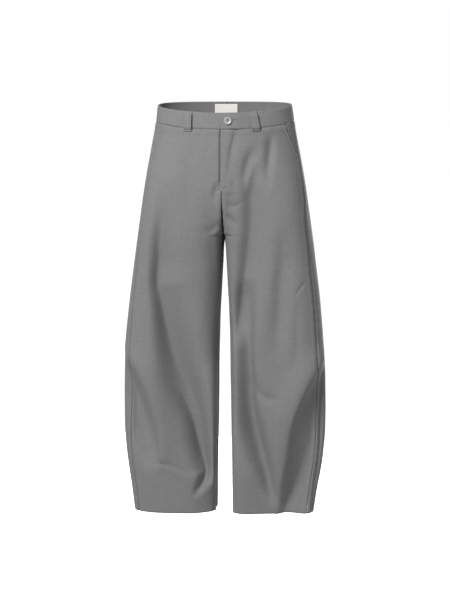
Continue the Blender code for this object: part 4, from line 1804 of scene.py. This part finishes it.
@dataclass(frozen=True)
class Studio:
    """A pale floor, soft lights and the camera at the photograph's angle."""

    azimuth: float = 4.5
    elevation: float = 8.0
    distance: float = 3.2
    frame_height: float = 1.5
    sensor: float = 36.0
    aim_height: float = -0.465
    floor_height: float = -1.6
    floor_size: float = 60.0
    sky_light: float = 0.18
    lights: tuple[SoftLight, ...] = (
        SoftLight("key", (-1.6, -3.0, 2.2), 1.2, 228.0),
        SoftLight("fill", (3.3, -1.6, 0.2), 2.0, 24.0),
        SoftLight("back", (0.3, 3.0, -0.3), 5.0, 390.0),
    )

    def camera(self) -> None:
        """Place the camera."""
        azimuth, elevation = math.radians(self.azimuth), math.radians(self.elevation)
        back = Vector((math.sin(azimuth) * math.cos(elevation),
                       -math.cos(azimuth) * math.cos(elevation), math.sin(elevation)))
        data = bpy.data.cameras.new("camera")
        data.sensor_width = self.sensor
        data.lens = self.sensor * self.distance / self.frame_height
        camera = bpy.data.objects.new("camera", data)
        camera.location = Vector((0.0, 0.0, self.aim_height)) + back * self.distance
        camera.rotation_euler = (-back).to_track_quat("-Z", "Y").to_euler()
        bpy.context.scene.collection.objects.link(camera)
        bpy.context.scene.camera = camera

    def light(self, light: SoftLight) -> None:
        """Add a light that faces the middle of the trousers and isn't seen itself.

        Args:
            light: the light.
        """
        data = bpy.data.lights.new(light.name, "AREA")
        data.size = light.size
        data.energy = light.watts
        lamp = bpy.data.objects.new(light.name, data)
        lamp.location = light.place
        lamp.visible_camera = False
        aim = Vector((0.0, 0.0, self.aim_height)) - Vector(light.place)
        lamp.rotation_euler = aim.to_track_quat("-Z", "Y").to_euler()
        bpy.context.scene.collection.objects.link(lamp)

    def seen_or_lit(self, tree: bpy.types.NodeTree, seen: float, lit: float) -> bpy.types.NodeSocket:
        """A strength for what the camera sees, and another for the light given off.

        Args:
            tree: the node tree of the world or a material.
            seen: the strength on the camera's own rays.
            lit: the strength on every other ray.

        Returns:
            The strength's socket.
        """
        path = tree.nodes.new("ShaderNodeLightPath")
        blend = tree.nodes.new("ShaderNodeMapRange")
        blend.inputs["To Min"].default_value = lit
        blend.inputs["To Max"].default_value = seen
        tree.links.new(path.outputs["Is Camera Ray"], blend.inputs["Value"])
        return blend.outputs[0]

    def floor_material(self) -> bpy.types.Material:
        """A pale floor, lit evenly to the white of a studio cove.

        Returns:
            The material.
        """
        finish = PlainFinish("pale_floor", (0.40, 0.40, 0.40, 1.0), (0.43, 0.43, 0.43, 1.0),
                             0.5, 0.9, specular=0.1, bump=0.0)
        material = finish.make()
        tree = material.node_tree
        shader = tree.nodes["Principled BSDF"]
        shader.inputs["Emission Color"].default_value = (1.0, 1.0, 1.0, 1.0)
        strength = self.seen_or_lit(tree, 1.0, 0.0)
        tree.links.new(strength, shader.inputs["Emission Strength"])
        return material

    def sky(self) -> None:
        """A white surround that looks brighter than the light it gives."""
        world = bpy.data.worlds.new("soft_white")
        world.use_nodes = True
        tree = world.node_tree
        tree.nodes["Background"].inputs["Color"].default_value = (1.0, 1.0, 1.0, 1.0)
        strength = self.seen_or_lit(tree, 1.0, self.sky_light)
        tree.links.new(strength, tree.nodes["Background"].inputs["Strength"])
        bpy.context.scene.world = world

    def build(self) -> None:
        """Make the floor, the sky, the lights and the camera."""
        mesh = bmesh.new()
        bmesh.ops.create_grid(mesh, x_segments=1, y_segments=1, size=self.floor_size / 2,
                              matrix=Matrix.Translation((0.0, 0.0, self.floor_height)))
        floor = new_object("floor", mesh, self.floor_material())
        self.sky()
        for light in self.lights:
            self.light(light)
        self.camera()
        scene = bpy.context.scene
        scene.view_settings.view_transform = "Standard"
        scene.view_settings.look = "None"


def main() -> None:
    """Build the studio and every piece in order."""
    logging.basicConfig(level=logging.INFO, format="%(message)s")
    Studio().build()
    panels = Trousers()
    panels.build()
    band = Waistband()
    band.build()
    loops = BeltLoops(band)
    loops.build()
    SewnLabel().build()
    button = WaistButton(band)
    button.build()
    Stitching(panels, band, loops).build(button)


if __name__ == "__main__":
    main()
